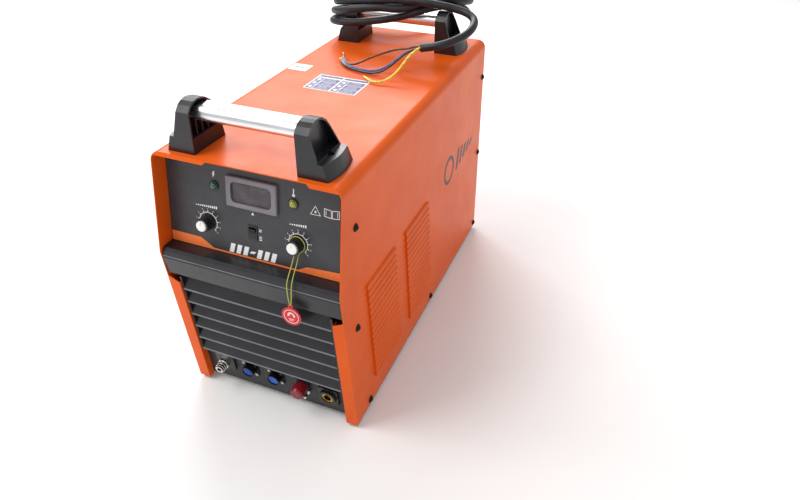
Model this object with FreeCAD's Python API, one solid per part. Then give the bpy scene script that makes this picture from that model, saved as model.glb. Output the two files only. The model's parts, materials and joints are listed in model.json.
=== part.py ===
import FreeCAD, Part
import math
import os

from FreeCAD import Vector

# A plasma cutting power source: a sheet-metal cabinet with two lifting handles, a tilted
# control face over a louvred front, a row of front connectors and a mains lead coiled on
# the rear handle. Millimetres. +X is the right-hand side seen from the front, +Y runs to
# the rear and +Z is up. The origin is on the floor, under the middle of the cabinet.

os.makedirs("parts", exist_ok=True)

# ---------------------------------------------------------------- driving dimensions
WIDTH = 310.0            # cabinet, outside
LENGTH = 690.0           # cabinet, knee to rear edge
TOP = 461.0              # top of the cover above the floor
UNDERSIDE = 6.0          # lower edge of the cover above the floor
SHEET = 1.5              # steel sheet
CORNER = 16.0            # outside radius of the cover's long top bends

HALF = WIDTH / 2
INNER = HALF - SHEET
REAR = LENGTH / 2
KNEE_Y, KNEE_Z = -LENGTH / 2, 296.0      # the front edge's furthest point
TOP_FRONT_Y = -323.0                     # where the front edge meets the top
LOW_FRONT_Y = -311.0                     # where the front edge meets the underside

UPPER_LEAN = math.degrees(math.atan((TOP_FRONT_Y - KNEE_Y) / (TOP - KNEE_Z)))
LOWER_LEAN = math.degrees(math.atan((LOW_FRONT_Y - KNEE_Y) / (KNEE_Z - UNDERSIDE)))
LOWER_SLOPE = (LOW_FRONT_Y - KNEE_Y) / (KNEE_Z - UNDERSIDE)

FACE_Y, FACE_Z = -315.3, 301.0           # foot of the tilted control face
FACE_HEIGHT = 157.5                      # along its slope
LOW_RECESS = 14.0                        # connector plate behind the front edge
LOW_Z = 50.0                             # height of the connector plate's own zero line
LOW_Y = KNEE_Y + (KNEE_Z - LOW_Z) * LOWER_SLOPE + LOW_RECESS

METER = (-2.5, 407.6)                    # centres on the control face: x, height
METER_SIZE = (85.0, 48.0)
METER_BODY = (78.0, 42.0)
METER_GLASS = (68.0, 33.0)
POWER_LAMP = (-68.0, 409.0)
HEAT_LAMP = (65.0, 408.0)
TIMER_DIAL = (-82.0, 347.0)
CURRENT_DIAL = (72.0, 347.0)
ROCKER = (-4.0, 347.0)

GAS_OUTLET = (-98.0, 54.0)               # centres on the connector plate: x, height
SIGNAL_SOCKETS = ((-48.0, 55.0), (2.0, 55.0))
PILOT = (52.0, 54.0)
WORK_SOCKET = (101.0, 48.0)

LIP_HEIGHTS = (222.0, 194.0, 166.0, 138.0, 110.0, 82.0)     # front grille blades

LOUVRE_COUNT = 16                        # side louvres in each bank
LOUVRE_PITCH = 13.3
LOUVRE_TOP = 257.0
LOUVRE_LENGTH = 113.0
LOUVRE_BANKS = (-263.0, -106.0)          # front end of each bank's top louvre
LOUVRE_STEP = 4.5                        # how far a louvre stands out of the side

SIDE_SCREWS = (                          # y, z on both sides
    (-290.0, 384.0), (-296.0, 206.0),
    (-259.0, 17.0), (38.0, 17.0), (335.0, 17.0),
    (335.0, 206.0), (335.0, 384.0),
)

MOUNT_INNER = 83.0                       # inner face of each handle mount, from the middle
MOUNT_FRONTS = (-313.5, 228.0)           # front face of the two pairs of mounts
TUBE_DEPTH, TUBE_HEIGHT = 38.0, 24.0     # oval handle tube
TUBE_BACK = 33.0                         # tube's middle behind the mount's front face
TUBE_Z = TOP + 57.0
TUBE_END = 94.0                          # half the tube's length

REAR_PANEL_Y = 318.0
FAN = (0.0, 215.0)
FAN_SIZE = 150.0
BREAKER = (98.0, 395.0)
GLAND = (60.0, 105.0)
GAS_INLET = (-95.0, 105.0)
EARTH_STUD = (-95.0, 55.0)

CABLE = 15.0                             # mains lead, outside diameter
CORE = 4.0                               # one insulated core
COIL_X, COIL_Y = -4.0, 284.0             # middle of the loops on the rear handle
COIL_RADIUS = 70.0                       # of the loops' round ends
COIL_STRAIGHT = 76.0                     # half the straight part between them
COIL_TURN = 9.0                          # degrees the loops are turned on the handle
COIL_THICK = 31.0                        # the bundle of strands

FOOT_PLACES = ((-122, -255), (122, -255), (-122, 290), (122, 290))
SCREW_DOME = 7.2                         # side screw heads: sphere radius
SCREW_SUNK = 2.7                         # and how much of it is cut away

MOUNT_SIDE = (                           # a handle mount from the side: y, z
    (0, 0), (0, 64), (7, 72.5), (15, 76.5), (23, 78), (32, 77),
    (41.5, 74), (52.5, 66), (58, 55), (70.5, 20), (75, 0),
)
MOUNT_SIDE_INSIDE = (                    # its hollow
    (2.6, 25), (2.6, 63), (9, 70.3), (16, 74), (23, 75.4),
    (31.5, 74.3), (40, 71.5), (50, 64), (55.5, 54), (65.5, 25),
)
MOUNT_FOOT = 24.5                        # height of its round foot
MOUNT_BOLT = (116.5, 36.0)               # from the middle, behind its front face
BOLT_RADIUS = 3.0

KNOB_RADIUS, KNOB_HEIGHT = 12.0, 17.0
KNOB_CAP_RADIUS = 8.4
SHAFT_RADIUS = 3.0
ROCKER_PIN = 1.2
ROCKER_TILT = 8.0
LAMP_RIM, LAMP_STEM = 8.0, 6.0           # radii

SOCKET_FLANGE = (30.0, 30.0)
SOCKET_SCREW = 11.2                      # screws from the middle, both ways
SOCKET_OUTSIDE, SOCKET_INSIDE = 11.2, 9.6        # radii of the barrel
PILOT_STUD = 3.0
PILOT_RADIUS, PILOT_HEIGHT = 11.5, 24.0

FAN_SCREW = 62.5                         # screws from the fan's middle, both ways
FAN_BORE = 71.0
FAN_SCREW_PLACES = tuple((dx, dz) for dx in (-FAN_SCREW, FAN_SCREW) for dz in (-FAN_SCREW, FAN_SCREW))
BREAKER_PIVOT = 2.0
TOGGLE_TILT = 18.0
GLAND_LENGTH = 24.0

TAG = (75.0, 245.0)                      # x and height of the tag's middle
TAG_Y = KNEE_Y - 4.0
TAG_RADIUS = 16.0
TAG_THICK = 1.2
STRING = 1.4
STRING_OUT = 3.5                         # the string's loop in front of the face

TAIL_ROUTE = (                           # out of the gland and up to the loops
    (60, 343.5, 105), (60, 380, 105.6), (60, 417, 116), (60, 446, 140.5),
    (60, 464, 180), (59, 471, 232), (57, 471, 287), (54, 463, 342),
    (49, 450, 394), (40, 431, 441), (24, 405, 473), (0, 380, 492),
    (-32, 361, 499), (-66, 350, 500),
)

END_ROUTE = (                            # out of the loops, over the right mount and forward
    (-52, 221, 546), (-10, 225, 551), (28, 228, 554), (62, 231, 555),
    (92, 235, 554), (121, 238, 550.5), (146, 235, 546), (164, 220, 540),
    (171, 195, 534), (167, 169, 527), (153, 147, 520), (133, 134, 513),
    (112, 129.5, 507.5), (92, 130, 503),
)

CORE_ROUTES = {                          # out of the lead's end, down to the cover
    "core_brown": (
        (93, 132.4, 504.7), (80, 137, 503), (66, 140.5, 496), (50, 143, 492),
        (33, 143, 488), (15, 130, 483), (-4, 114, 477), (-24, 101, 467),
        (-38, 96.5, 465), (-52, 107, 465), (-61, 120, 467), (-68, 131, 469.5),
    ),
    "core_blue": (
        (93, 131.2, 501.1), (80, 128, 499.5), (66, 121, 495), (56, 108, 487),
        (47, 93, 478.5), (33, 83, 470), (18, 80, 466), (0, 80.5, 464.7),
        (-20, 84.5, 464.6), (-38, 90.5, 464.6), (-52, 101, 464.8), (-62, 115, 466.5),
    ),
    "core_black": (
        (93, 127.6, 502.3), (82, 123, 502), (70, 112, 496.5), (60, 97, 488),
        (50, 82, 478), (37, 73.5, 469.5), (22, 70.5, 465.5), (4, 71.5, 464.6),
        (-15, 75.5, 464.6), (-33, 82, 464.6), (-50, 94, 464.8), (-63, 110, 466.5),
    ),
    "core_earth": (
        (93, 128.8, 505.9), (90, 119, 505), (84, 103, 500.5), (80, 85, 493),
        (76, 67, 483.5), (68, 50, 472.5), (56, 38, 466), (42, 33, 464.6),
        (28, 38, 464.6), (17, 48, 464.7),
    ),
}


# ---------------------------------------------------------------- building blocks
def box(x, y, z):
    """A block from three (low, high) pairs."""
    shape = Part.makeBox(x[1] - x[0], y[1] - y[0], z[1] - z[0])
    shape.translate(Vector(x[0], y[0], z[0]))
    return shape


def rod(radius, start, end):
    """A cylinder between two points."""
    a, b = Vector(*start), Vector(*end)
    return Part.makeCylinder(radius, (b - a).Length, a, b - a)


def cone(radius_a, radius_b, start, end):
    a, b = Vector(*start), Vector(*end)
    return Part.makeCone(radius_a, radius_b, (b - a).Length, a, b - a)


def prism(points, direction):
    """A closed outline of 3-D points, pushed along a direction."""
    ring = [Vector(*p) for p in points]
    wire = Part.makePolygon(ring + [ring[0]])
    return Part.Face(wire).extrude(Vector(*direction))


def across(points, x_low, x_high):
    """A side outline of (y, z) points, pushed from x_low to x_high."""
    return prism([(x_low, y, z) for y, z in points], (x_high - x_low, 0, 0))


def rounded(width, height, radius, low, high):
    """A block with four rounded corners round the local z axis."""
    shape = box((-width / 2, width / 2), (-height / 2, height / 2), (low, high))
    edges = [e for e in shape.Edges if abs(e.tangentAt(e.FirstParameter).z) > 0.99]
    return shape.makeFillet(radius, edges)


def ring(outer, inner, low, high):
    body = rod(outer, (0, 0, low), (0, 0, high))
    return body.cut(rod(inner, (0, 0, low - 1), (0, 0, high + 1)))


def hexagon(across_flats, low, high):
    radius = across_flats / math.sqrt(3)
    points = []
    for i in range(6):
        turn = math.radians(60 * i)
        points.append((radius * math.cos(turn), radius * math.sin(turn), low))
    return prism(points, (0, 0, high - low))


def moved(shape, x, y, z):
    copy = shape.copy()
    copy.translate(Vector(x, y, z))
    return copy


def mirrored(shape):
    return shape.mirror(Vector(0, 0, 0), Vector(1, 0, 0))


def fuse(shapes):
    first, rest = shapes[0], shapes[1:]
    if not rest:
        return first
    return first.multiFuse(rest).removeSplitter()


def cut(shape, tools):
    return shape.cut(Part.makeCompound(tools))


def on_face(shape, place):
    """Stand a shape built round local z on the tilted control face."""
    x, height = place
    turned = shape.copy()
    turned.rotate(Vector(0, 0, 0), Vector(1, 0, 0), 90 - UPPER_LEAN)
    rise = height - FACE_Z
    turned.translate(Vector(x, FACE_Y + rise * math.tan(math.radians(UPPER_LEAN)), height))
    return turned


def on_low(shape, place):
    """Stand a shape built round local z on the leaning connector plate."""
    x, height = place
    turned = shape.copy()
    turned.rotate(Vector(0, 0, 0), Vector(1, 0, 0), 90 + LOWER_LEAN)
    turned.translate(Vector(x, LOW_Y - (height - LOW_Z) * LOWER_SLOPE, height))
    return turned


def on_rear(shape, place):
    """Stand a shape built round local z on the rear panel, pointing backwards."""
    x, height = place
    turned = shape.copy()
    turned.rotate(Vector(0, 0, 0), Vector(1, 0, 0), -90)
    turned.translate(Vector(x, REAR_PANEL_Y + SHEET, height))
    return turned


def front_edge(z):
    """Y of the cabinet's front edge at a height."""
    if z > KNEE_Z:
        return KNEE_Y + (z - KNEE_Z) * (TOP_FRONT_Y - KNEE_Y) / (TOP - KNEE_Z)
    return KNEE_Y + (KNEE_Z - z) * LOWER_SLOPE


made = []


def save(name, shape):
    """Write one sub-part and say what it is."""
    solids = shape.Solids
    out = solids[0] if len(solids) == 1 else Part.makeCompound(solids)
    out.exportStep("parts/" + name + ".step")
    made.append(name)
    note = "" if shape.isValid() else "   NOT VALID"
    print(f"{name:24s} solids {len(solids):3d}  volume {shape.Volume:12.1f}{note}")


# ---------------------------------------------------------------- cabinet
def louvre_outline(length, height, radius, x_low, x_high):
    """A bar with rounded upper corners, seen from the side, pushed along x."""
    shape = box((x_low, x_high), (0, length), (-height / 2, height / 2))
    edges = []
    for edge in shape.Edges:
        middle = edge.CenterOfMass
        if abs(edge.tangentAt(edge.FirstParameter).x) > 0.99 and middle.z > 0:
            edges.append(edge)
    return shape.makeFillet(radius, edges)


def louvre_hood():
    """The pressed-out band of one side louvre, open along its lower edge."""
    out = HALF + LOUVRE_STEP
    outside = (
        (INNER, 4.6), (HALF, 4.6), (HALF + 2.6, 3.4), (out - 0.6, 0.6),
        (out, -2.2), (out, -4.2), (INNER, -4.2),
    )
    inside = (
        (INNER - 1, 3.0), (HALF + 0.3, 3.0), (HALF + 1.8, 2.0), (out - 1.9, -0.2),
        (out - 1.3, -2.4), (out - 1.3, -5.5), (INNER - 1, -5.5),
    )
    wall = 1.3
    outer = prism([(x, 0, z) for x, z in outside], (0, LOUVRE_LENGTH, 0))
    outer = outer.common(louvre_outline(LOUVRE_LENGTH, 9.4, 5.0, HALF - 5, HALF + 10))
    inner = prism([(x, wall, z) for x, z in inside], (0, LOUVRE_LENGTH - 2 * wall, 0))
    return outer.cut(inner)


def louvre_places():
    places = []
    for start in LOUVRE_BANKS:
        for i in range(LOUVRE_COUNT):
            drop = i * LOUVRE_PITCH
            places.append((start + drop * LOWER_SLOPE, LOUVRE_TOP - drop))
    return places


def long_top_edges(shape):
    """The edges along y that run along a block's top."""
    found = []
    for edge in shape.Edges:
        if abs(edge.tangentAt(edge.FirstParameter).y) > 0.99 and edge.CenterOfMass.z > 400:
            found.append(edge)
    return found


def cover_lip(room):
    """The fold along the cover's top front edge, open in the middle, inside a room."""
    low, high = TOP - 7.0, TOP - 1
    outline = []
    for z, back in ((low, 0), (high, 0), (high, SHEET), (low, SHEET)):
        outline.append((front_edge(z) + back, z))
    lip = across(outline, -HALF, HALF).common(room)
    gap = [(-66, KNEE_Y, low - 1), (-58, KNEE_Y, TOP), (100, KNEE_Y, TOP), (107, KNEE_Y, low - 1)]
    return lip.cut(prism(gap, (0, 60, 0)))


def cover_flanges():
    """The two folds that frame the lower front, each turned in once more."""
    fold_in, turned = 135.0, 13.0
    inner_top, outer_top = 236.0, 247.0
    pieces = []
    for sign in (-1, 1):
        corners = (
            (fold_in, inner_top), (INNER + 0.5, outer_top),
            (INNER + 0.5, UNDERSIDE), (fold_in, UNDERSIDE),
        )
        front = [(sign * x, front_edge(z), z) for x, z in corners]
        pieces.append(prism(front, (0, SHEET, 0)))
        edge = []
        for z, back in ((inner_top, 0), (inner_top, turned), (UNDERSIDE, turned), (UNDERSIDE, 0)):
            edge.append((sign * fold_in, front_edge(z) + back, z))
        pieces.append(prism(edge, (sign * SHEET, 0, 0)))
    return pieces


def louvre_slots():
    """The openings in both side sheets behind the louvres."""
    slots = []
    for y, z in louvre_places():
        for sign in (-1, 1):
            low, high = sorted((sign * (INNER - 1), sign * (HALF + 0.2)))
            slots.append(box((low, high), (y + 1.3, y + LOUVRE_LENGTH - 1.3), (z - 4.2, z + 3.0)))
    return slots


def cover_shell():
    """The folded cover: two louvred sides and the top in one sheet."""
    outer = box((-HALF, HALF), (KNEE_Y - 5, REAR), (UNDERSIDE, TOP))
    inner = box((-INNER, INNER), (KNEE_Y - 6, REAR + 1), (UNDERSIDE - 1, TOP - SHEET))
    outer = outer.makeFillet(CORNER, long_top_edges(outer))
    inner = inner.makeFillet(CORNER - SHEET, long_top_edges(inner))
    side = [(TOP_FRONT_Y, TOP), (KNEE_Y, KNEE_Z), (LOW_FRONT_Y, UNDERSIDE), (REAR, UNDERSIDE), (REAR, TOP)]
    sheet = outer.cut(inner).common(across(side, -HALF, HALF))

    slots = louvre_slots()
    holes = [rod(2.0, (-HALF - 2, y, z), (HALF + 2, y, z)) for y, z in SIDE_SCREWS]
    for x, y in mount_bolt_places():
        holes.append(rod(BOLT_RADIUS, (x, y, TOP - 5), (x, y, TOP + 1)))
    sheet = cut(sheet, slots + holes)

    hood = louvre_hood()
    hoods = []
    for y, z in louvre_places():
        hoods += [moved(hood, 0, y, z), moved(mirrored(hood), 0, y, z)]
    hoods = [cut(shape, slots) for shape in hoods]
    return fuse([sheet, cover_lip(inner)] + cover_flanges() + hoods)


def base_plate():
    """The floor sheet, turned up along both sides."""
    floor_sheet = box((-INNER, INNER), (-297.9, 343), (8, 10))
    sides = []
    for low, high in ((-INNER, -INNER + 2), (INNER - 2, INNER)):
        sides.append(box((low, high), (-285, 316), (10, 28)))
    holes = [rod(2.0, (-HALF - 2, y, z), (HALF + 2, y, z)) for y, z in SIDE_SCREWS[2:4]]
    holes += [rod(BOLT_RADIUS, (x, y, 7), (x, y, 11)) for x, y in FOOT_PLACES]
    return cut(fuse([floor_sheet] + sides), holes)


def rubber_feet():
    feet = []
    for x, y in FOOT_PLACES:
        pad = cone(13.0, 15.0, (x, y, 0), (x, y, 8))
        feet.append(pad.fuse(rod(3.0, (x, y, 8), (x, y, 10))))
    return Part.makeCompound(feet)


def arched_sheet(half_width, low, high, y, thick, radius):
    """An upright sheet with two rounded top corners."""
    shape = box((-half_width, half_width), (y, y + thick), (low, high))
    edges = []
    for edge in shape.Edges:
        if abs(edge.tangentAt(edge.FirstParameter).y) > 0.99 and edge.CenterOfMass.z > high - 1:
            edges.append(edge)
    return shape.makeFillet(radius, edges)


def rear_hole(radius, place, dx=0.0, dz=0.0):
    """A round tool through the rear panel."""
    x, z = place[0] + dx, place[1] + dz
    return rod(radius, (x, REAR_PANEL_Y - 8, z), (x, REAR_PANEL_Y + 12, z))


def rear_panel():
    """The rear tray with its openings for the fan, breaker and fittings."""
    high = TOP - SHEET
    radius = CORNER - SHEET
    tray = arched_sheet(INNER, 10, high, REAR_PANEL_Y, REAR - REAR_PANEL_Y - 1, radius)
    hollow = arched_sheet(INNER - SHEET, 9, high - SHEET, REAR_PANEL_Y + SHEET, 40, radius - SHEET)
    tools = [hollow, rear_hole(FAN_BORE, FAN)]
    tools += [rear_hole(2.2, FAN, dx, dz) for dx, dz in FAN_SCREW_PLACES]
    x, z = BREAKER
    tools.append(box((x - 27, x + 27), (REAR_PANEL_Y - 8, REAR_PANEL_Y + 12), (z - 23, z + 23)))
    tools += [rear_hole(8.5, GLAND), rear_hole(5.0, GAS_INLET), rear_hole(4.0, EARTH_STUD)]
    for y, z in SIDE_SCREWS[4:]:
        tools.append(rod(2.0, (-HALF - 2, y, z), (HALF + 2, y, z)))
    return cut(tray, tools)


def side_screw(sign):
    """A round black screw: head outside the cover, shank through it."""
    head = Part.makeSphere(SCREW_DOME).common(box((SCREW_SUNK, 12), (-7, 7), (-7, 7)))
    head.translate(Vector(-SCREW_SUNK, 0, 0))
    screw = head.fuse(rod(2.0, (-6, 0, 0), (0, 0, 0)))
    screw = screw.cut(rod(2.0, (2.4, 0, 0), (6, 0, 0)))
    if sign < 0:
        screw = mirrored(screw)
    return moved(screw, sign * HALF, 0, 0)


def cover_screws():
    shapes = []
    for sign in (-1, 1):
        screw = side_screw(sign)
        shapes += [moved(screw, 0, y, z) for y, z in SIDE_SCREWS]
    return Part.makeCompound(shapes)


# ---------------------------------------------------------------- handles
def mount_bolt_places():
    places = []
    for front in MOUNT_FRONTS:
        for sign in (-1, 1):
            places.append((sign * MOUNT_BOLT[0], front + MOUNT_BOLT[1]))
    return places


def handle_mount_right():
    """One moulded mount for the +X side, front face at y = 0 and foot at z = 0."""
    widest, high = 145.0, 80.0
    side = across(MOUNT_SIDE, MOUNT_INNER, widest)
    foot = side.common(cone(114.0, 107.5, (21.5, 38, 0), (21.5, 38, MOUNT_FOOT)))
    foot = foot.common(box((MOUNT_INNER, widest), (-1, high), (0, MOUNT_FOOT)))
    outline = (
        (MOUNT_INNER, 0), (118.0, 0), (115.0, MOUNT_FOOT),
        (104.0, 64), (104.0, high), (MOUNT_INNER, high),
    )
    upright = prism([(x, -1, z) for x, z in outline], (0, 82, 0))
    body = foot.fuse(side.common(upright))

    well = across(MOUNT_SIDE_INSIDE, MOUNT_INNER - 1, TUBE_END)
    pocket = across([(y, max(z, 27.0)) for y, z in MOUNT_SIDE_INSIDE], 98.0, 130)
    body = body.cut(well).cut(pocket)

    tube = oval(TUBE_DEPTH, TUBE_HEIGHT, MOUNT_INNER - 5, TUBE_END)
    tube.translate(Vector(0, TUBE_BACK, TUBE_Z - TOP))
    ribs = [box((MOUNT_INNER + 3, TUBE_END), (y, y + 2.4), (24, 60)) for y in (16.0, 29.0, 42.0)]
    body = fuse([body] + ribs).cut(tube)
    x, y = MOUNT_BOLT
    body = body.cut(rod(BOLT_RADIUS, (x, y, -1), (x, y, 30)))
    body = body.cut(rod(5.4, (x, y, 18.5), (x, y, 30)))
    return body.Solids[0]


def oval(depth, height, x_low, x_high):
    """A bar along x with an oval section, depth along y and height along z."""
    flat = (depth - height) / 2
    radius = height / 2
    middle = box((x_low, x_high), (-flat, flat), (-radius, radius))
    ends = [rod(radius, (x_low, y, 0), (x_high, y, 0)) for y in (-flat, flat)]
    return fuse([middle] + ends)


def handle_tube():
    outer = oval(TUBE_DEPTH, TUBE_HEIGHT, -TUBE_END, TUBE_END)
    inner = oval(TUBE_DEPTH - 4, TUBE_HEIGHT - 4, -TUBE_END - 1, TUBE_END + 1)
    return outer.cut(inner)


def mount_screws():
    shapes = []
    for x, y in mount_bolt_places():
        head = rod(5.2, (x, y, TOP + 18.5), (x, y, TOP + 23.0))
        head = head.cut(moved(hexagon(4.0, 0, 5), x, y, TOP + 20.0))
        shank = rod(BOLT_RADIUS, (x, y, TOP - 8), (x, y, TOP + 18.5))
        shapes.append(head.fuse(shank))
    return Part.makeCompound(shapes)


# ---------------------------------------------------------------- control face
def face_sheet(front, back, half_width, holes):
    """A sheet lying in the control face, between two depths behind it."""
    low = -14.0
    sheet = box((-half_width, half_width), (low, FACE_HEIGHT), (back, front))
    edges = []
    for edge in sheet.Edges:
        if abs(edge.tangentAt(edge.FirstParameter).z) > 0.99 and edge.CenterOfMass.y > FACE_HEIGHT - 1:
            edges.append(edge)
    sheet = on_face(sheet.makeFillet(CORNER, edges), (0, FACE_Z))
    return cut(sheet, holes)


def face_holes():
    """The openings for the meter, lamps, rocker and dial bushings."""
    return [
        on_face(rounded(*METER_BODY, 2.0, -10, 5), METER),
        on_face(rod(LAMP_STEM, (0, 0, -10), (0, 0, 5)), POWER_LAMP),
        on_face(rod(LAMP_STEM, (0, 0, -10), (0, 0, 5)), HEAT_LAMP),
        on_face(rod(5.0, (0, 0, -10), (0, 0, 5)), TIMER_DIAL),
        on_face(rod(5.0, (0, 0, -10), (0, 0, 5)), CURRENT_DIAL),
        on_face(box((-6.8, 6.8), (-9.8, 9.8), (-10, 5)), ROCKER),
    ]


def control_panel():
    sheet = face_sheet(-0.5, -2.0, INNER, face_holes())
    wings = []
    for sign in (-1, 1):
        low, high = sorted((sign * INNER, sign * (INNER - SHEET)))
        wing = on_face(box((low, high), (-14, FACE_HEIGHT - CORNER), (-26, -1)), (0, FACE_Z))
        wings.append(wing)
    holes = [rod(2.0, (-HALF - 2, y, z), (HALF + 2, y, z)) for y, z in SIDE_SCREWS[:1]]
    return cut(fuse([sheet] + wings), holes)


def control_overlay():
    overlay = face_sheet(0.0, -0.5, INNER - 1.0, face_holes())
    keep = on_face(box((-200, 200), (0.2, 200), (-5, 5)), (0, FACE_Z))
    return overlay.common(keep)


def front_visor():
    """The black nose between the control face and the grille, open behind."""
    outside = ((FACE_Y, FACE_Z), (-337.0, 301.0), (-340.5, 296.5), (-343.5, 285.0), (-338.0, 253.5))
    bottom = ((-322.0, 251.5), (-322.0, 254.0))
    inside = ((-336.0, 255.6), (-341.0, 285.0), (-338.4, 294.8), (-335.6, 298.5), (FACE_Y - 0.33, 298.5))
    return across(outside + bottom + inside, -INNER, INNER)


def meter_bezel():
    frame = rounded(*METER_SIZE, 3.0, 0, 5.0)
    edges = [e for e in frame.Edges if e.CenterOfMass.z > 4.9]
    frame = frame.makeChamfer(1.2, edges)
    collar = rounded(*METER_BODY, 2.0, -18, 0)
    window = rounded(*METER_GLASS, 8.0, -1, 6)
    seat = rounded(METER_GLASS[0] + 4, METER_GLASS[1] + 4, 9.0, -19, 2.0)
    return on_face(frame.fuse(collar).cut(window).cut(seat), METER)


def meter_window():
    return on_face(rounded(METER_GLASS[0] + 4, METER_GLASS[1] + 4, 9.0, 0, 2.0), METER)


def meter_module():
    """The display board behind the window: a board with three digit blocks."""
    board = box((-31, 31), (-13.5, 13.5), (-16, -8))
    digits = [box((x - 7, x + 7), (-9.5, 9.5), (-8, -1.0)) for x in (-18, 0, 18)]
    return on_face(fuse([board] + digits), METER)


def lamp(place):
    stem = rod(LAMP_STEM, (0, 0, -12), (0, 0, 0.5))
    rim = ring(LAMP_RIM, 5.0, 0, 1.6)
    dome = Part.makeSphere(6.0).common(box((-7, 7), (-7, 7), (0, 7)))
    dome.translate(Vector(0, 0, 0.5))
    return on_face(fuse([stem, rim, dome]), place)


def knob(place):
    """A fluted black knob, 1.2 clear of the face, with a seat for its cap."""
    body = cone(KNOB_RADIUS, KNOB_RADIUS - 1.2, (0, 0, 1.2), (0, 0, KNOB_HEIGHT))
    flutes = []
    for i in range(18):
        turn = math.radians(20 * i)
        x, y = (KNOB_RADIUS + 0.3) * math.cos(turn), (KNOB_RADIUS + 0.3) * math.sin(turn)
        flutes.append(rod(1.1, (x, y, 4.0), (x, y, KNOB_HEIGHT + 1)))
    body = cut(body, flutes)
    bore = rod(SHAFT_RADIUS + 0.05, (0, 0, 0), (0, 0, 11.0))
    bush_room = rod(6.5, (0, 0, 0), (0, 0, 4.0))
    seat = rod(KNOB_CAP_RADIUS, (0, 0, KNOB_HEIGHT - 1.5), (0, 0, KNOB_HEIGHT + 1))
    return on_face(cut(body, [bore, bush_room, seat]), place)


def knob_cap(place):
    """The pale cap pressed into the knob, with a pointer groove at twelve o'clock."""
    cap = rod(KNOB_CAP_RADIUS, (0, 0, KNOB_HEIGHT - 1.5), (0, 0, KNOB_HEIGHT + 2.5))
    edges = [e for e in cap.Edges if e.CenterOfMass.z > KNOB_HEIGHT + 2]
    cap = cap.makeFillet(1.0, edges)
    groove = box((-0.7, 0.7), (1.5, 10), (KNOB_HEIGHT + 1.7, KNOB_HEIGHT + 4))
    return on_face(cap.cut(groove), place)


def potentiometers():
    shapes = []
    for place in (TIMER_DIAL, CURRENT_DIAL):
        can = rod(12.0, (0, 0, -14), (0, 0, -2.0))
        bush = rod(5.0, (0, 0, -2.0), (0, 0, 0.4))
        nut = hexagon(9.0, 0.4, 2.6)
        nut = nut.common(rod(5.2, (0, 0, 0), (0, 0, 4)))
        shaft = rod(SHAFT_RADIUS, (0, 0, 0), (0, 0, 10.6))
        shapes.append(on_face(fuse([can, bush, nut, shaft]), place))
    return Part.makeCompound(shapes)


def mode_switch_body():
    """The switch's frame and box, open at the front for the rocker."""
    rim = box((-8.0, 8.0), (-11.5, 11.5), (0, 1.4))
    case = box((-6.8, 6.8), (-9.8, 9.8), (-22, 0))
    room = box((-5.9, 5.9), (-8.9, 8.9), (-10, 3))
    pin_hole = rod(ROCKER_PIN + 0.05, (-6.7, 0, -3.0), (6.7, 0, -3.0))
    return on_face(cut(rim.fuse(case), [room, pin_hole]), ROCKER)


def mode_rocker():
    """The rocker, resting with its lower half pressed in."""
    outline = [(-7.9, 1.6), (-7.9, 3.2), (0, 1.2), (7.9, 3.2), (7.9, 1.6), (3.0, -5.5), (-3.0, -5.5)]
    body = prism([(-5.6, y, z) for y, z in outline], (11.2, 0, 0))
    body = body.fuse(rod(ROCKER_PIN, (-6.6, 0, -3.0), (6.6, 0, -3.0)))
    body.rotate(Vector(0, 0, -3.0), Vector(1, 0, 0), ROCKER_TILT)
    return on_face(body, ROCKER)


# ---------------------------------------------------------------- lower front
def low_height(z):
    """Slope distance on the connector plate from its zero line to a height."""
    return (z - LOW_Z) / math.cos(math.radians(LOWER_LEAN))


def louvre_grille():
    """The black lower front: six sloped blades with round lips, between two side walls."""
    blade = (
        (27, -6), (27, -2.5), (3.6, 11.4), (1.4, 12.3), (-0.4, 11.6),
        (-0.9, 9.8), (0.4, 8.2), (2.6, 7.8), (22, -6),
    )
    half = 133.0
    shapes = []
    for z in LIP_HEIGHTS:
        v = low_height(z)
        shapes.append(prism([(-half, v + dv, w) for dv, w in blade], (2 * half, 0, 0)))
    low, high = low_height(LIP_HEIGHTS[-1]) + 1, low_height(LIP_HEIGHTS[0]) + 27
    for sign in (-1, 1):
        xs = sorted((sign * (half - 2), sign * (half + 1.6)))
        shapes.append(box(xs, (low, high), (-6, 11.0)))
        xs = sorted((sign * half, sign * INNER))
        shapes.append(box(xs, (low, high), (-6, -3)))
        xs = sorted((sign * (INNER - 2), sign * INNER))
        shapes.append(box(xs, (low, high), (-36, -3)))
    grille = on_low(fuse(shapes), (0, LOW_Z))
    y, z = SIDE_SCREWS[1]
    return grille.cut(rod(2.0, (-HALF - 2, y, z), (HALF + 2, y, z)))


def low_holes():
    """The round openings for the connectors."""
    wanted = [(8.0, GAS_OUTLET), (5.0, PILOT), (15.0, WORK_SOCKET)]
    wanted += [(SOCKET_OUTSIDE, place) for place in SIGNAL_SOCKETS]
    return [on_low(rod(radius, (0, 0, -9), (0, 0, 9)), place) for radius, place in wanted]


def connector_plate():
    plate = box((-INNER, INNER), (low_height(10.4), low_height(81.0)), (-2, 0))
    return cut(on_low(plate, (0, LOW_Z)), low_holes() + socket_screw_holes())


def socket_screw_offsets():
    return [(dx, dy) for dx in (-SOCKET_SCREW, SOCKET_SCREW) for dy in (-SOCKET_SCREW, SOCKET_SCREW)]


def socket_screw_holes():
    holes = []
    for place in SIGNAL_SOCKETS:
        for dx, dy in socket_screw_offsets():
            holes.append(on_low(rod(1.3, (dx, dy, -9), (dx, dy, 9)), place))
    return holes


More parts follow.
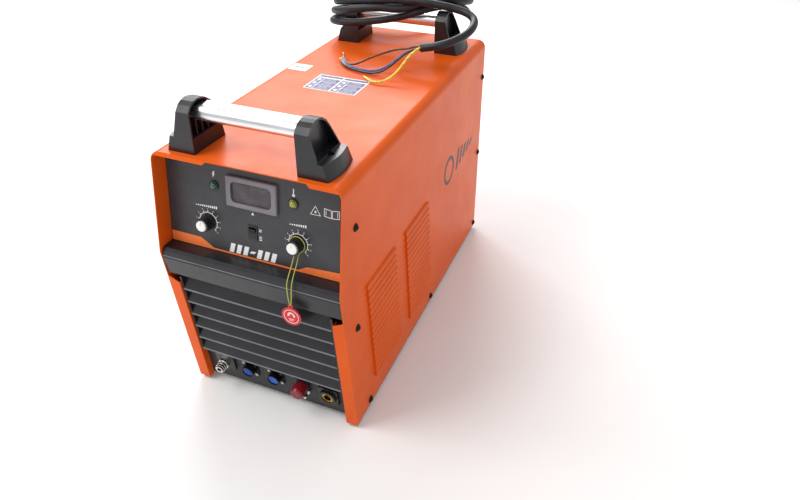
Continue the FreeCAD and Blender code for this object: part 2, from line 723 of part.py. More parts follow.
def gas_outlet():
    """The quick-thread gas fitting: hex, collar and a bored nose."""
    shapes = [hexagon(19.0, 4.0, 11.0)]
    for radius, low, high in ((8.0, -14, 4), (7.5, 11, 24), (8.6, 14, 16), (8.6, 18.5, 20.5)):
        shapes.append(rod(radius, (0, 0, low), (0, 0, high)))
    bore = rod(4.0, (0, 0, 6), (0, 0, 25))
    return on_low(fuse(shapes).cut(bore), GAS_OUTLET)


def gas_outlet_pad():
    pad = rounded(36.0, 36.0, 3.0, 0, 4.0)
    return on_low(pad.cut(rod(8.0, (0, 0, -1), (0, 0, 5))), GAS_OUTLET)


def signal_socket(place):
    """A round panel socket on a square flange."""
    flange = rounded(*SOCKET_FLANGE, 2.5, 0, 2.2)
    barrel = ring(SOCKET_OUTSIDE, SOCKET_INSIDE, -12, 13.0)
    collar = ring(SOCKET_OUTSIDE + 1.0, SOCKET_OUTSIDE, 2.2, 6.0)
    flange = flange.cut(rod(SOCKET_INSIDE, (0, 0, -1), (0, 0, 3)))
    holes = [rod(1.3, (dx, dy, -1), (dx, dy, 3)) for dx, dy in socket_screw_offsets()]
    return on_low(cut(fuse([flange, barrel, collar]), holes), place)


def signal_inserts():
    """The blue pin blocks, one in each round socket."""
    shapes = []
    for place in SIGNAL_SOCKETS:
        block = rod(SOCKET_INSIDE, (0, 0, -10), (0, 0, 11.0))
        pieces = [block.cut(box((-1.6, 1.6), (7.4, 11), (7, 12)))]
        for i in range(6):
            turn = math.radians(60 * i)
            x, y = 4.8 * math.cos(turn), 4.8 * math.sin(turn)
            pieces.append(rod(1.1, (x, y, 11.0), (x, y, 12.6)))
        shapes.append(on_low(fuse(pieces), place))
    return Part.makeCompound(shapes)


def socket_screws():
    shapes = []
    for place in SIGNAL_SOCKETS:
        for dx, dy in socket_screw_offsets():
            head = rod(2.8, (dx, dy, 2.2), (dx, dy, 4.2))
            head = head.cut(box((dx - 3, dx + 3), (dy - 0.3, dy + 0.3), (3.4, 5)))
            shapes.append(on_low(head.fuse(rod(1.3, (dx, dy, -5), (dx, dy, 2.2))), place))
    return Part.makeCompound(shapes)


def pilot_terminal():
    """The pilot-arc terminal: an insulating pad and the stud its knob runs on."""
    pad = rounded(28.0, 28.0, 3.0, 0, 4.0)
    stem = rod(5.0, (0, 0, -12), (0, 0, 0))
    stud = rod(PILOT_STUD, (0, 0, 4), (0, 0, PILOT_HEIGHT - 3))
    return on_low(fuse([stem, pad, stud]), PILOT)


def pilot_knob():
    """The ribbed red terminal knob, screwed down to the pad with a hair's gap."""
    shoulder = PILOT_HEIGHT - 4.0
    body = rod(PILOT_RADIUS, (0, 0, 4.3), (0, 0, shoulder))
    body = body.fuse(cone(PILOT_RADIUS, PILOT_RADIUS - 1.3, (0, 0, shoulder), (0, 0, PILOT_HEIGHT)))
    waist = ring(PILOT_RADIUS + 2, PILOT_RADIUS - 1.5, 8.0, 10.0)
    ribs = []
    for i in range(16):
        turn = math.radians(22.5 * i)
        x, y = (PILOT_RADIUS + 0.3) * math.cos(turn), (PILOT_RADIUS + 0.3) * math.sin(turn)
        ribs.append(rod(1.0, (x, y, 11.0), (x, y, PILOT_HEIGHT + 1)))
    bore = rod(PILOT_STUD + 0.05, (0, 0, 4), (0, 0, PILOT_HEIGHT - 2.5))
    return on_low(cut(body, ribs + [waist, bore]), PILOT)


def work_socket():
    """The insulated shell of the work-lead socket, round in a square flange."""
    flange = rounded(36.0, 38.0, 4.0, 0, 5.0)
    barrel = rod(15.0, (0, 0, -22), (0, 0, 9.0))
    bore = rod(10.5, (0, 0, -16), (0, 0, 10))
    return on_low(flange.fuse(barrel).cut(bore), WORK_SOCKET)


def work_contact():
    """The brass sleeve of the work-lead socket, with its keyway."""
    sleeve = ring(10.5, 6.7, -16, 7.5).fuse(rod(10.5, (0, 0, -16), (0, 0, -13)))
    keyway = box((-1.6, 1.6), (0, 9.0), (-6, 9))
    return on_low(sleeve.cut(keyway), WORK_SOCKET)


# ---------------------------------------------------------------- rear
def fan_frame():
    """The fan's square frame, with four arms to a hub and a pin."""
    x, z = FAN
    half, back, arm_end = FAN_SIZE / 2, REAR_PANEL_Y - 50, FAN_BORE + 2
    frame = box((x - half, x + half), (back, REAR_PANEL_Y), (z - half, z + half))
    tools = [rod(FAN_BORE, (x, 200, z), (x, 400, z))]
    for dx, dz in FAN_SCREW_PLACES:
        tools.append(rod(2.2, (x + dx, 200, z + dz), (x + dx, 400, z + dz)))
    hub = rod(22, (x, back, z), (x, back + 6, z))
    arms = []
    for i in range(4):
        arm = box((x, x + arm_end), (back, back + 4), (z - 3, z + 3))
        arm.rotate(Vector(x, 0, z), Vector(0, 1, 0), 45 + 90 * i)
        arms.append(arm)
    pin = rod(3.0, (x, back + 6, z), (x, REAR_PANEL_Y - 12, z))
    return fuse([cut(frame, tools), hub] + arms + [pin])


def fan_rotor():
    """Seven blades on a hub, turning on the frame's pin."""
    x, z = FAN
    low, high = REAR_PANEL_Y - 42, REAR_PANEL_Y - 8
    hub = rod(30.0, (x, low, z), (x, high, z))
    blades = []
    for i in range(7):
        blade = box((25, 68.5), (-15, 15), (-0.9, 0.9))
        blade.rotate(Vector(0, 0, 0), Vector(1, 0, 0), 38)
        blade.rotate(Vector(0, 0, 0), Vector(0, 1, 0), 360.0 / 7 * i)
        blade.translate(Vector(x, (low + high) / 2, z))
        blades.append(blade)
    rim_room = rod(69.0, (x, low, z), (x, high, z))
    blades = [b.common(rim_room) for b in blades]
    bore = rod(3.05, (x, low - 1, z), (x, REAR_PANEL_Y - 11.5, z))
    return fuse([hub] + blades).cut(bore)


def fan_guard():
    """Round wire rings on four arms, with an eye at each fan screw."""
    wire = 1.5
    shapes = []
    for radius in (16.0, 30.0, 44.0, 58.0, 72.0):
        shapes.append(Part.makeTorus(radius, wire, Vector(0, 0, wire + 1.6), Vector(0, 0, 1)))
    for i in range(4):
        turn = math.radians(45 + 90 * i)
        reach = 84.0
        tip = (reach * math.cos(turn), reach * math.sin(turn))
        start = (14.0 * math.cos(turn), 14.0 * math.sin(turn))
        shapes.append(rod(wire, (*start, wire), (*tip, wire)))
        eye = FAN_SCREW * math.sqrt(2)
        middle = (eye * math.cos(turn), eye * math.sin(turn))
        shapes.append(rod(6.0, (*middle, 0), (*middle, 3.0)))
    guard = fuse(shapes)
    holes = [rod(2.2, (dx, dy, -1), (dx, dy, 6)) for dx, dy in FAN_SCREW_PLACES]
    return on_rear(cut(guard, holes), FAN)


def fan_screws():
    """Four cross-head screws through the guard, the panel and the fan's frame."""
    shapes = []
    for dx, dy in FAN_SCREW_PLACES:
        head = rod(4.4, (dx, dy, 3.0), (dx, dy, 5.6))
        slots = [
            box((dx - 2.6, dx + 2.6), (dy - 0.5, dy + 0.5), (4.6, 7)),
            box((dx - 0.5, dx + 0.5), (dy - 2.6, dy + 2.6), (4.6, 7)),
        ]
        shank = rod(2.2, (dx, dy, -50), (dx, dy, 3.0))
        shapes.append(on_rear(cut(head, slots).fuse(shank), FAN))
    return Part.makeCompound(shapes)


def breaker_body():
    """The three-pole main breaker, held in the rear panel's cut-out."""
    case = box((-27, 27), (-23, 23), (-62, 5.0))
    nose = box((-27, 27), (-11.5, 11.5), (5.0, 12.0))
    flange = fuse([box((-27, 27), (-31, -23), (-6, -SHEET)), box((-27, 27), (23, 31), (-6, -SHEET))])
    room = box((-24, 24), (-8.5, 8.5), (-8, 13))
    pin_hole = rod(1.55, (-25.5, 0, BREAKER_PIVOT), (25.5, 0, BREAKER_PIVOT))
    return on_rear(cut(fuse([case, nose, flange]), [room, pin_hole]), BREAKER)


def breaker_toggle():
    """The ganged toggle, resting in its off position."""
    drum = rod(6.5, (-23.5, 0, BREAKER_PIVOT), (23.5, 0, BREAKER_PIVOT))
    pin = rod(1.5, (-25.3, 0, BREAKER_PIVOT), (25.3, 0, BREAKER_PIVOT))
    handle = box((-22, 22), (-2.2, 2.2), (BREAKER_PIVOT, 22.0))
    toggle = fuse([drum, pin, handle])
    toggle.rotate(Vector(0, 0, BREAKER_PIVOT), Vector(1, 0, 0), -TOGGLE_TILT)
    return on_rear(toggle, BREAKER)


def mains_gland():
    """The clamping gland that holds the mains lead in the rear panel."""
    shapes = [
        rod(8.5, (0, 0, -14), (0, 0, 0)), hexagon(27.0, 0, 7.0), rod(13.0, (0, 0, 7), (0, 0, 12)),
        cone(13.0, 10.0, (0, 0, 12), (0, 0, GLAND_LENGTH)), hexagon(24.0, -8.0, -SHEET),
    ]
    bore = rod(CABLE / 2, (0, 0, 10), (0, 0, GLAND_LENGTH + 1))
    return on_rear(fuse(shapes).cut(bore), GLAND)


def gas_inlet():
    """The barbed hose tail for compressed air."""
    shapes = [
        rod(5.0, (0, 0, -14), (0, 0, 0)), hexagon(16.0, 0, 8.0),
        rod(4.2, (0, 0, 8), (0, 0, 24)), hexagon(15.0, -8.0, -SHEET),
    ]
    for low in (11.0, 15.5, 20.0):
        shapes.append(cone(5.2, 4.2, (0, 0, low), (0, 0, low + 3.5)))
    bore = rod(2.5, (0, 0, 2), (0, 0, 25))
    return on_rear(fuse(shapes).cut(bore), GAS_INLET)


def earth_stud():
    """The protective earth stud with its nuts and washer."""
    shapes = [
        rod(4.0, (0, 0, -12), (0, 0, 20)), hexagon(13.0, 0, 6.5),
        hexagon(13.0, -8.0, -SHEET), rod(9.0, (0, 0, 6.5), (0, 0, 8.0)),
    ]
    return on_rear(fuse(shapes), EARTH_STUD)


# ---------------------------------------------------------------- inside
def heatsink():
    """The finned aluminium block that the power devices are bolted to."""
    back = box((-60, 60), (-180, 120), (60, 70))
    fins = [box((x - 1.5, x + 1.5), (-180, 120), (12, 60)) for x in range(-57, 58, 12)]
    return fuse([back] + fins + [box((-60, 60), (-180, 120), (10, 14))])


def main_transformer():
    """A ferrite core with its winding, standing on the base."""
    core = box((70, 130), (-60, 60), (10, 110)).cut(box((84, 116), (-61, 61), (32, 88)))
    winding = box((72, 128), (-40, 40), (32, 88)).cut(box((69, 84), (-41, 41), (20, 100)))
    winding = winding.cut(box((116, 131), (-41, 41), (20, 100)))
    return fuse([core, winding])


def power_board():
    """The inverter board with its row of reservoir capacitors."""
    board = box((-70, 70), (-190, 130), (70, 72))
    cans = []
    for x in (-42, 0, 42):
        for y in (-140, -70, 0):
            cans.append(rod(17.5, (x, y, 72), (x, y, 122)))
    return fuse([board] + cans)


# ---------------------------------------------------------------- mains lead and tag
def tangent_path(points, closed=False):
    """Straight runs joined by tangent arcs, each as large as its two runs allow."""
    corners = [Vector(*p) for p in points]
    count = len(corners)
    starts, ends, mids, radii = {}, {}, {}, []
    inner = range(count) if closed else range(1, count - 1)
    for i in inner:
        before, here, after = corners[i - 1], corners[i], corners[(i + 1) % count]
        a, b = before - here, after - here
        reach = 0.45 * min(a.Length, b.Length)
        turn = math.pi - a.getAngle(b)
        radius = reach / math.tan(turn / 2)
        a.normalize()
        b.normalize()
        starts[i], ends[i] = here + a * reach, here + b * reach
        bisector = (a + b).normalize()
        centre = here + bisector * (radius / math.cos(turn / 2))
        mids[i] = centre - bisector * radius
        radii.append(radius)
    edges = []
    if closed:
        for i in range(count):
            edges.append(Part.Arc(starts[i], mids[i], ends[i]).toShape())
            edges.append(Part.LineSegment(ends[i], starts[(i + 1) % count]).toShape())
        return Part.Wire(edges), radii
    previous = corners[0]
    for i in inner:
        edges.append(Part.LineSegment(previous, starts[i]).toShape())
        edges.append(Part.Arc(starts[i], mids[i], ends[i]).toShape())
        previous = ends[i]
    edges.append(Part.LineSegment(previous, corners[-1]).toShape())
    return Part.Wire(edges), radii


def cord(name, points, diameter, closed=False):
    """A round cord along a route; prints its tightest radii and checks its volume."""
    path, radii = tangent_path(points, closed)
    first = path.Edges[0]
    start = first.valueAt(first.FirstParameter)
    along = first.tangentAt(first.FirstParameter)
    circle = Part.Wire(Part.Circle(start, along, diameter / 2).toShape())
    shape = path.makePipeShell([circle], True, False)
    if shape.ShapeType != "Solid":
        shape = Part.Solid(shape)
    if shape.Volume < 0:
        shape.reverse()
    ideal = math.pi * diameter ** 2 / 4 * path.Length
    print(f"{name}: length {path.Length:.0f}, radii {min(radii):.0f} to {max(radii):.0f}, "
          f"tightest {min(radii) / diameter:.1f} diameters, volume ratio {shape.Volume / ideal:.3f}")
    return shape


def coil_point(degrees, spread=0.0, lift=0.0):
    """A point of the loops on the rear handle: round ends joined by straight strands,
    turned a little on the handle, high over its right mount and low at the left."""
    turn = math.radians(degrees)
    shift = COIL_STRAIGHT if math.cos(turn) > 0 else -COIL_STRAIGHT
    along = shift + (COIL_RADIUS + spread) * math.cos(turn)
    back = (COIL_RADIUS + spread) * math.sin(turn)
    skew = math.radians(COIL_TURN)
    x = COIL_X + along * math.cos(skew) - back * math.sin(skew)
    y = COIL_Y + along * math.sin(skew) + back * math.cos(skew)
    z = 532.0 + 0.17 * along - 0.17 * back + lift
    return (x, y, z)


def coil_ring():
    """One turn of the loops, as evenly spaced points."""
    points = []
    for degrees in (15, 45, 75):
        points.append(coil_point(degrees))
    points += middle_points(coil_point(75), coil_point(105))
    for degrees in (105, 135, 165, 195, 225, 255):
        points.append(coil_point(degrees))
    points += middle_points(coil_point(255), coil_point(285))
    for degrees in (285, 315, 345):
        points.append(coil_point(degrees))
    return points


def middle_points(start, end):
    """Two points on a long strand, bowed slightly outwards."""
    out = []
    for share, bow in ((0.34, 2.5), (0.66, 2.5)):
        x = start[0] + (end[0] - start[0]) * share
        y = start[1] + (end[1] - start[1]) * share
        z = start[2] + (end[2] - start[2]) * share
        out.append((x, y + (bow if y > COIL_Y else -bow), z))
    return out


def mains_cable_coil():
    """The outer shape of the loops, as one closed ring."""
    return cord("mains_cable_coil", coil_ring(), COIL_THICK, closed=True)


def face_point(x, height, out):
    """A point at a distance in front of the control face, by its height on the face."""
    lean = math.radians(UPPER_LEAN)
    y = FACE_Y + (height - FACE_Z) * math.tan(lean)
    return (x, y - out * math.cos(lean), height + out * math.sin(lean))


def hang_tag():
    """A round card hanging in front of the visor, with an eye for its string on top."""
    x, z = TAG
    eye = z + TAG_RADIUS + 2.0
    card = rod(TAG_RADIUS, (x, TAG_Y, z), (x, TAG_Y - TAG_THICK, z))
    tab = rod(4.0, (x, TAG_Y, eye), (x, TAG_Y - TAG_THICK, eye))
    hole = rod(1.5, (x, TAG_Y + 1, eye), (x, TAG_Y - 3, eye))
    return card.fuse(tab).removeSplitter().cut(hole)


def tag_string():
    """One string from the tag's eye, up over the visor, round the knob and back."""
    x, z = CURRENT_DIAL
    loop = KNOB_RADIUS + STRING / 2 + 0.3
    eye = TAG[1] + TAG_RADIUS + 4.5
    middle = TAG_Y - TAG_THICK / 2
    up = [
        (TAG[0] - 1.0, middle, eye), (TAG[0] - 3.2, middle, 281),
        (x - 2.6, -346, 300), (x - 2.4, -337, 311), (x - 2.8, -325, 323),
    ]
    down = [
        (x + 4.6, -325, 323), (x + 5.0, -337, 311), (x + 5.4, -346, 300),
        (TAG[0] + 3.0, middle, 281), (TAG[0] + 1.0, middle, eye),
    ]
    over = []
    for degrees in range(255, -76, -30):
        turn = math.radians(degrees)
        over.append(face_point(x + loop * math.cos(turn), z + loop * math.sin(turn), STRING_OUT))
    return cord("tag_string", up + over + down, STRING)


# ---------------------------------------------------------------- write every sub-part
def main():
    save("cover_shell", cover_shell())
    save("base_plate", base_plate())
    save("rear_panel", rear_panel())
    save("rubber_feet", rubber_feet())
    save("cover_screws", cover_screws())

    mount = handle_mount_right()
    tube = handle_tube()
    for end, front in zip(("front", "rear"), MOUNT_FRONTS):
        right = moved(mount, 0, front, TOP)
        save(f"handle_mount_{end}_right", right)
        save(f"handle_mount_{end}_left", mirrored(right))
        save(f"handle_tube_{end}", moved(tube, 0, front + TUBE_BACK, TUBE_Z))
    save("mount_screws", mount_screws())

    save("control_panel", control_panel())
    save("control_overlay", control_overlay())
    save("front_visor", front_visor())
    save("meter_bezel", meter_bezel())
    save("meter_window", meter_window())
    save("meter_module", meter_module())
    save("power_lamp", lamp(POWER_LAMP))
    save("heat_lamp", lamp(HEAT_LAMP))
    for name, place in (("timer", TIMER_DIAL), ("current", CURRENT_DIAL)):
        save(f"{name}_knob", knob(place))
        save(f"{name}_knob_cap", knob_cap(place))
    save("potentiometers", potentiometers())
    save("mode_switch_body", mode_switch_body())
    save("mode_rocker", mode_rocker())

    save("louvre_grille", louvre_grille())
    save("connector_plate", connector_plate())
    save("gas_outlet", gas_outlet())
    save("gas_outlet_pad", gas_outlet_pad())
    for side, place in zip(("left", "right"), SIGNAL_SOCKETS):
        save(f"signal_socket_{side}", signal_socket(place))
    save("signal_inserts", signal_inserts())
    save("socket_screws", socket_screws())
    save("pilot_terminal", pilot_terminal())
    save("pilot_knob", pilot_knob())
    save("work_socket", work_socket())
    save("work_contact", work_contact())

    save("fan_frame", fan_frame())
    save("fan_rotor", fan_rotor())
    save("fan_guard", fan_guard())
    save("fan_screws", fan_screws())
    save("breaker_body", breaker_body())
    save("breaker_toggle", breaker_toggle())
    save("mains_gland", mains_gland())
    save("gas_inlet", gas_inlet())
    save("earth_stud", earth_stud())

    save("heatsink", heatsink())
    save("main_transformer", main_transformer())
    save("power_board", power_board())

    save("mains_cable_tail", cord("mains_cable_tail", TAIL_ROUTE, CABLE))
    save("mains_cable_coil", mains_cable_coil())
    save("mains_cable_end", cord("mains_cable_end", END_ROUTE, CABLE))
    for name, route in CORE_ROUTES.items():
        save(name, cord(name, route, CORE))
    save("tag_string", tag_string())
    save("hang_tag", hang_tag())
    print(len(made), "sub-parts")


main()
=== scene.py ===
import bpy
import json
import math

from mathutils import Matrix, Vector


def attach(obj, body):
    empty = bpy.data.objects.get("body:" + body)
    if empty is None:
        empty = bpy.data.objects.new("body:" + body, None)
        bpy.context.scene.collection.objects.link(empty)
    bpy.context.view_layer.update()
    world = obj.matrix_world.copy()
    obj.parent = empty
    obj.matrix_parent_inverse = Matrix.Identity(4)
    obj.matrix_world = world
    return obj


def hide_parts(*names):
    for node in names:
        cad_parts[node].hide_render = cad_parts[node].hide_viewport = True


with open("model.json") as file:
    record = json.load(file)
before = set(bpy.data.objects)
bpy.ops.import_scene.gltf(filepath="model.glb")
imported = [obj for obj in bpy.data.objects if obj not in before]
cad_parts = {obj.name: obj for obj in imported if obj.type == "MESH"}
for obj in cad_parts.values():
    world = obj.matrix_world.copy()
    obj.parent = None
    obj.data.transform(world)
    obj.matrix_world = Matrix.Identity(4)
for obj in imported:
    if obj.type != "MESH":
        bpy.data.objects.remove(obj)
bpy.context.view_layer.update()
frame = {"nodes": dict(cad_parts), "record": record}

# The looks of a plasma cutting power source: finishes, printed faces, labels, the mains lead
# looped over the rear handle, the tag on its string, soft light and the camera.
# Places are in millimetres in the CAD frame and mm() turns them into metres. The lights and the
# floor are in metres from the start.

MM = 0.001

# ---------------------------------------------------------------- driving values
FACE_LEAN = math.atan2(22.0, 165.0)              # control face, from upright
FACE_FOOT = (-315.3, 301.0)                      # y and height of the face's foot
PLATE_LEAN = math.atan2(34.0, 290.0)             # connector plate, from upright
PLATE_FOOT = (-302.16, 50.0)
REAR_FACE_Y = 319.5
TOP_Z = 461.0
SIDE_X = 155.0
PRINT = 0.12                                     # thickness of a printed film
PRINT_GAP = 0.05                                 # its clearance from what carries it

CABLE = 15.0
CORE = 4.0
STRING = 1.4
CURRENT_KNOB = (72.0, 347.0)                     # the knob that carries the tag
TIMER_KNOB = (-82.0, 347.0)
DIAL_SWEEP = (225.0, -45.0)                      # a dial's first and last degree, from the right
SCALE_INNER = 15.0                               # a dial's curved line
SCALE_OUTER = 18.8                               # the far end of its ticks
FIGURE_RADIUS = 21.4
TAG = (75.0, 245.0)
TAG_FRONT_Y = -350.2
TAG_BACK_Y = -349.0
TAG_SINK = -0.04                                 # its print is pressed into the card
LIPS = (222.0, 194.0, 166.0, 138.0, 110.0, 82.0)     # heights of the grille's six lips
LIP_REACH = 12.87                                # a lip's nose, out from the connector plate
LIP_FALL = 0.41                                  # how much it draws back for each mm up
RIDGE = (-340.5, 296.5)                          # y and height of the visor's ridge
RIDGE_LEAN = 0.261                               # how far it comes forward for each mm below
RIDGE_OUT = (0.97, 0.25)                         # outward from the visor: forward and up
BADGE_HEIGHT = 262.0

CAMERA_PLACE = (511.0, -998.5, 906.2)
CAMERA_AZIMUTH = 22.2
CAMERA_ELEVATION = 30.3
CAMERA_LENS = 30.64
CAMERA_SHIFT_Y = -0.075
WORLD_STRENGTH = 0.68
FLOOR_REACH = 9.0


def mm(point):
    return Vector(point) * MM


# ---------------------------------------------------------------- camera and light
def aim(obj, back):
    obj.rotation_euler = (-back).to_track_quat("-Z", "Y").to_euler()


def make_camera():
    data = bpy.data.cameras.new("camera")
    camera = bpy.data.objects.new("camera", data)
    bpy.context.scene.collection.objects.link(camera)
    azimuth = math.radians(CAMERA_AZIMUTH)
    elevation = math.radians(CAMERA_ELEVATION)
    back = Vector((
        math.sin(azimuth) * math.cos(elevation),
        -math.cos(azimuth) * math.cos(elevation),
        math.sin(elevation),
    ))
    camera.location = mm(CAMERA_PLACE)
    aim(camera, back)
    data.sensor_width = 36.0
    data.lens = CAMERA_LENS
    data.shift_y = CAMERA_SHIFT_Y
    data.clip_end = 50.0
    bpy.context.scene.camera = camera


def area_light(name, place, target, size, power, tone):
    data = bpy.data.lights.new(name, "AREA")
    data.shape = "RECTANGLE"
    data.size, data.size_y = size
    data.energy = power
    data.color = tone
    light = bpy.data.objects.new(name, data)
    bpy.context.scene.collection.objects.link(light)
    light.location = place
    aim(light, Vector(place) - Vector(target))


def make_light():
    world = bpy.data.worlds.new("studio")
    bpy.context.scene.world = world
    bpy.context.scene.view_settings.view_transform = "Standard"
    world.use_nodes = True
    background = world.node_tree.nodes["Background"]
    background.inputs["Color"].default_value = (1.0, 1.0, 1.0, 1.0)
    background.inputs["Strength"].default_value = WORLD_STRENGTH
    middle = (0.0, 0.0, 0.3)
    area_light("key", (-1.4, -1.2, 2.6), middle, (1.6, 1.6), 48.0, (1.0, 0.98, 0.95))
    area_light("back_window", (-1.5, 2.4, 2.2), middle, (2.4, 1.1), 80.0, (1.0, 1.0, 1.0))


# ---------------------------------------------------------------- shader building blocks
def linear(red, green, blue):
    """A screen colour, each part 0 to 255, as linear light."""
    parts = []
    for part in (red, green, blue):
        share = part / 255.0
        parts.append(share / 12.92 if share <= 0.04045 else ((share + 0.055) / 1.055) ** 2.4)
    return (*parts, 1.0)


def new_finish(name, roughness=0.5, metallic=0.0, specular=0.5, coat=0.0, coat_roughness=0.1):
    material = bpy.data.materials.new(name)
    material.use_nodes = True
    shader = material.node_tree.nodes["Principled BSDF"]
    shader.inputs["Roughness"].default_value = roughness
    shader.inputs["Metallic"].default_value = metallic
    shader.inputs["Specular IOR Level"].default_value = specular
    shader.inputs["Coat Weight"].default_value = coat
    shader.inputs["Coat Roughness"].default_value = coat_roughness
    return material


def shader_of(material):
    return material.node_tree.nodes["Principled BSDF"]


def pattern(material, kind, size, stretch=(1.0, 1.0, 1.0), turn=(0.0, 0.0, 0.0), **settings):
    """A texture node over the object's own coordinates; size is one feature, in millimetres."""
    tree = material.node_tree
    coordinates = tree.nodes.new("ShaderNodeTexCoord")
    mapping = tree.nodes.new("ShaderNodeMapping")
    mapping.inputs["Scale"].default_value = stretch
    mapping.inputs["Rotation"].default_value = turn
    texture = tree.nodes.new(kind)
    texture.inputs["Scale"].default_value = 1.0 / (size * MM)
    for name, value in settings.items():
        texture.inputs[name.replace("_", " ").title()].default_value = value
    tree.links.new(coordinates.outputs["Object"], mapping.inputs["Vector"])
    tree.links.new(mapping.outputs["Vector"], texture.inputs["Vector"])
    return texture


def noise(material, size, stretch=(1.0, 1.0, 1.0), detail=3.0):
    return pattern(material, "ShaderNodeTexNoise", size, stretch, detail=detail).outputs["Fac"]


def tint(material, factor, dark, light, low=0.3, high=0.7):
    """Base colour running between two tones with a pattern."""
    tree = material.node_tree
    ramp = tree.nodes.new("ShaderNodeValToRGB")
    ramp.color_ramp.elements[0].position = low
    ramp.color_ramp.elements[0].color = dark
    ramp.color_ramp.elements[1].position = high
    ramp.color_ramp.elements[1].color = light
    tree.links.new(factor, ramp.inputs["Fac"])
    tree.links.new(ramp.outputs["Color"], shader_of(material).inputs["Base Color"])


def roughen(material, factor, low, high):
    tree = material.node_tree
    spread = tree.nodes.new("ShaderNodeMapRange")
    spread.inputs["From Min"].default_value = 0.3
    spread.inputs["From Max"].default_value = 0.7
    spread.inputs["To Min"].default_value = low
    spread.inputs["To Max"].default_value = high
    tree.links.new(factor, spread.inputs["Value"])
    tree.links.new(spread.outputs["Result"], shader_of(material).inputs["Roughness"])


def emboss(material, height, strength, depth):
    """Add a bump, over any bump that is there already; depth is in millimetres."""
    tree = material.node_tree
    bump = tree.nodes.new("ShaderNodeBump")
    bump.inputs["Strength"].default_value = strength
    bump.inputs["Distance"].default_value = depth * MM
    normal = shader_of(material).inputs["Normal"]
    if normal.is_linked:
        tree.links.new(normal.links[0].from_socket, bump.inputs["Normal"])
    tree.links.new(height, bump.inputs["Height"])
    tree.links.new(bump.outputs["Normal"], normal)


# ---------------------------------------------------------------- finishes
def orange_enamel():
    """Glossy stove enamel with a little orange peel and faint wiping marks."""
    paint = new_finish("orange_enamel", specular=0.12)
    tint(paint, noise(paint, 90.0, detail=2.0), linear(222, 88, 20), linear(230, 97, 25))
    roughen(paint, noise(paint, 40.0), 0.3, 0.38)
    emboss(paint, noise(paint, 2.2, detail=1.0), 0.1, 0.05)
    return paint


def powder_coat():
    """Satin black powder coat with a fine pebble."""
    paint = new_finish("powder_coat", specular=0.45)
    tint(paint, noise(paint, 26.0), linear(38, 38, 42), linear(48, 48, 52))
    roughen(paint, noise(paint, 5.0), 0.42, 0.58)
    emboss(paint, noise(paint, 0.7, detail=2.0), 0.35, 0.05)
    return paint


def zinc():
    """Zinc plate with its faint crystal patches."""
    metal = new_finish("zinc", metallic=1.0)
    patches = pattern(metal, "ShaderNodeTexVoronoi", 7.0).outputs["Distance"]
    tint(metal, patches, linear(150, 152, 154), linear(196, 198, 198), 0.1, 0.8)
    roughen(metal, noise(metal, 6.0), 0.3, 0.48)
    return metal


def blackened_steel():
    metal = new_finish("blackened_steel", metallic=0.8)
    tint(metal, noise(metal, 3.0), linear(20, 20, 22), linear(40, 40, 44))
    roughen(metal, noise(metal, 1.5), 0.28, 0.45)
    emboss(metal, noise(metal, 0.5), 0.2, 0.03)
    return metal


def turned_metal(name, dark, light, low=0.14, high=0.3):
    """Machined or plated metal with fine tool marks."""
    metal = new_finish(name, metallic=1.0)
    tint(metal, noise(metal, 4.0), dark, light)
    roughen(metal, noise(metal, 1.2, (1.0, 1.0, 8.0)), low, high)
    emboss(metal, noise(metal, 0.35, (1.0, 6.0, 6.0), 2.0), 0.12, 0.02)
    return metal


def drawn_aluminium():
    """The handle tube: pale anodised aluminium, drawn along its length."""
    metal = new_finish("drawn_aluminium", metallic=1.0)
    lines = noise(metal, 0.8, (0.02, 1.0, 1.0), 3.0)
    tint(metal, lines, linear(214, 216, 220), linear(242, 243, 245))
    roughen(metal, lines, 0.24, 0.38)
    emboss(metal, lines, 0.1, 0.03)
    return metal


def cast_aluminium():
    metal = new_finish("cast_aluminium", metallic=1.0)
    tint(metal, noise(metal, 3.0), linear(140, 142, 146), linear(178, 180, 184))
    roughen(metal, noise(metal, 2.0), 0.4, 0.6)
    return metal


def soft_rubber():
    rubber = new_finish("soft_rubber", specular=0.3)
    tint(rubber, noise(rubber, 8.0), linear(22, 22, 23), linear(34, 34, 35))
    roughen(rubber, noise(rubber, 3.0), 0.7, 0.9)
    emboss(rubber, noise(rubber, 0.9), 0.3, 0.08)
    return rubber


def moulded_plastic(name, dark, light, low, high, texture=0.25):
    """Injection-moulded plastic with a spark-eroded surface and slight flow shading."""
    plastic = new_finish(name, specular=0.5)
    tint(plastic, noise(plastic, 30.0, (1.0, 1.0, 0.4)), dark, light)
    roughen(plastic, noise(plastic, 12.0), low, high)
    emboss(plastic, noise(plastic, 0.6, detail=2.0), texture, 0.04)
    return plastic


def film():
    """The printed overlay: a charcoal polyester film with a fine velvet texture."""
    sheet = new_finish("film", specular=0.5)
    tint(sheet, noise(sheet, 40.0), linear(47, 47, 52), linear(56, 56, 61))
    roughen(sheet, noise(sheet, 9.0), 0.36, 0.48)
    emboss(sheet, noise(sheet, 0.5, detail=1.0), 0.3, 0.03)
    return sheet


def tinted_glass():
    """The meter's smoked window, see-through with a fine handling haze."""
    glass = new_finish("tinted_glass", specular=0.6)
    shader = shader_of(glass)
    shader.inputs["Transmission Weight"].default_value = 0.82
    shader.inputs["IOR"].default_value = 1.3
    tint(glass, noise(glass, 14.0), linear(150, 140, 148), linear(180, 170, 178))
    roughen(glass, noise(glass, 8.0, (1.0, 1.0, 0.4)), 0.08, 0.22)
    return glass


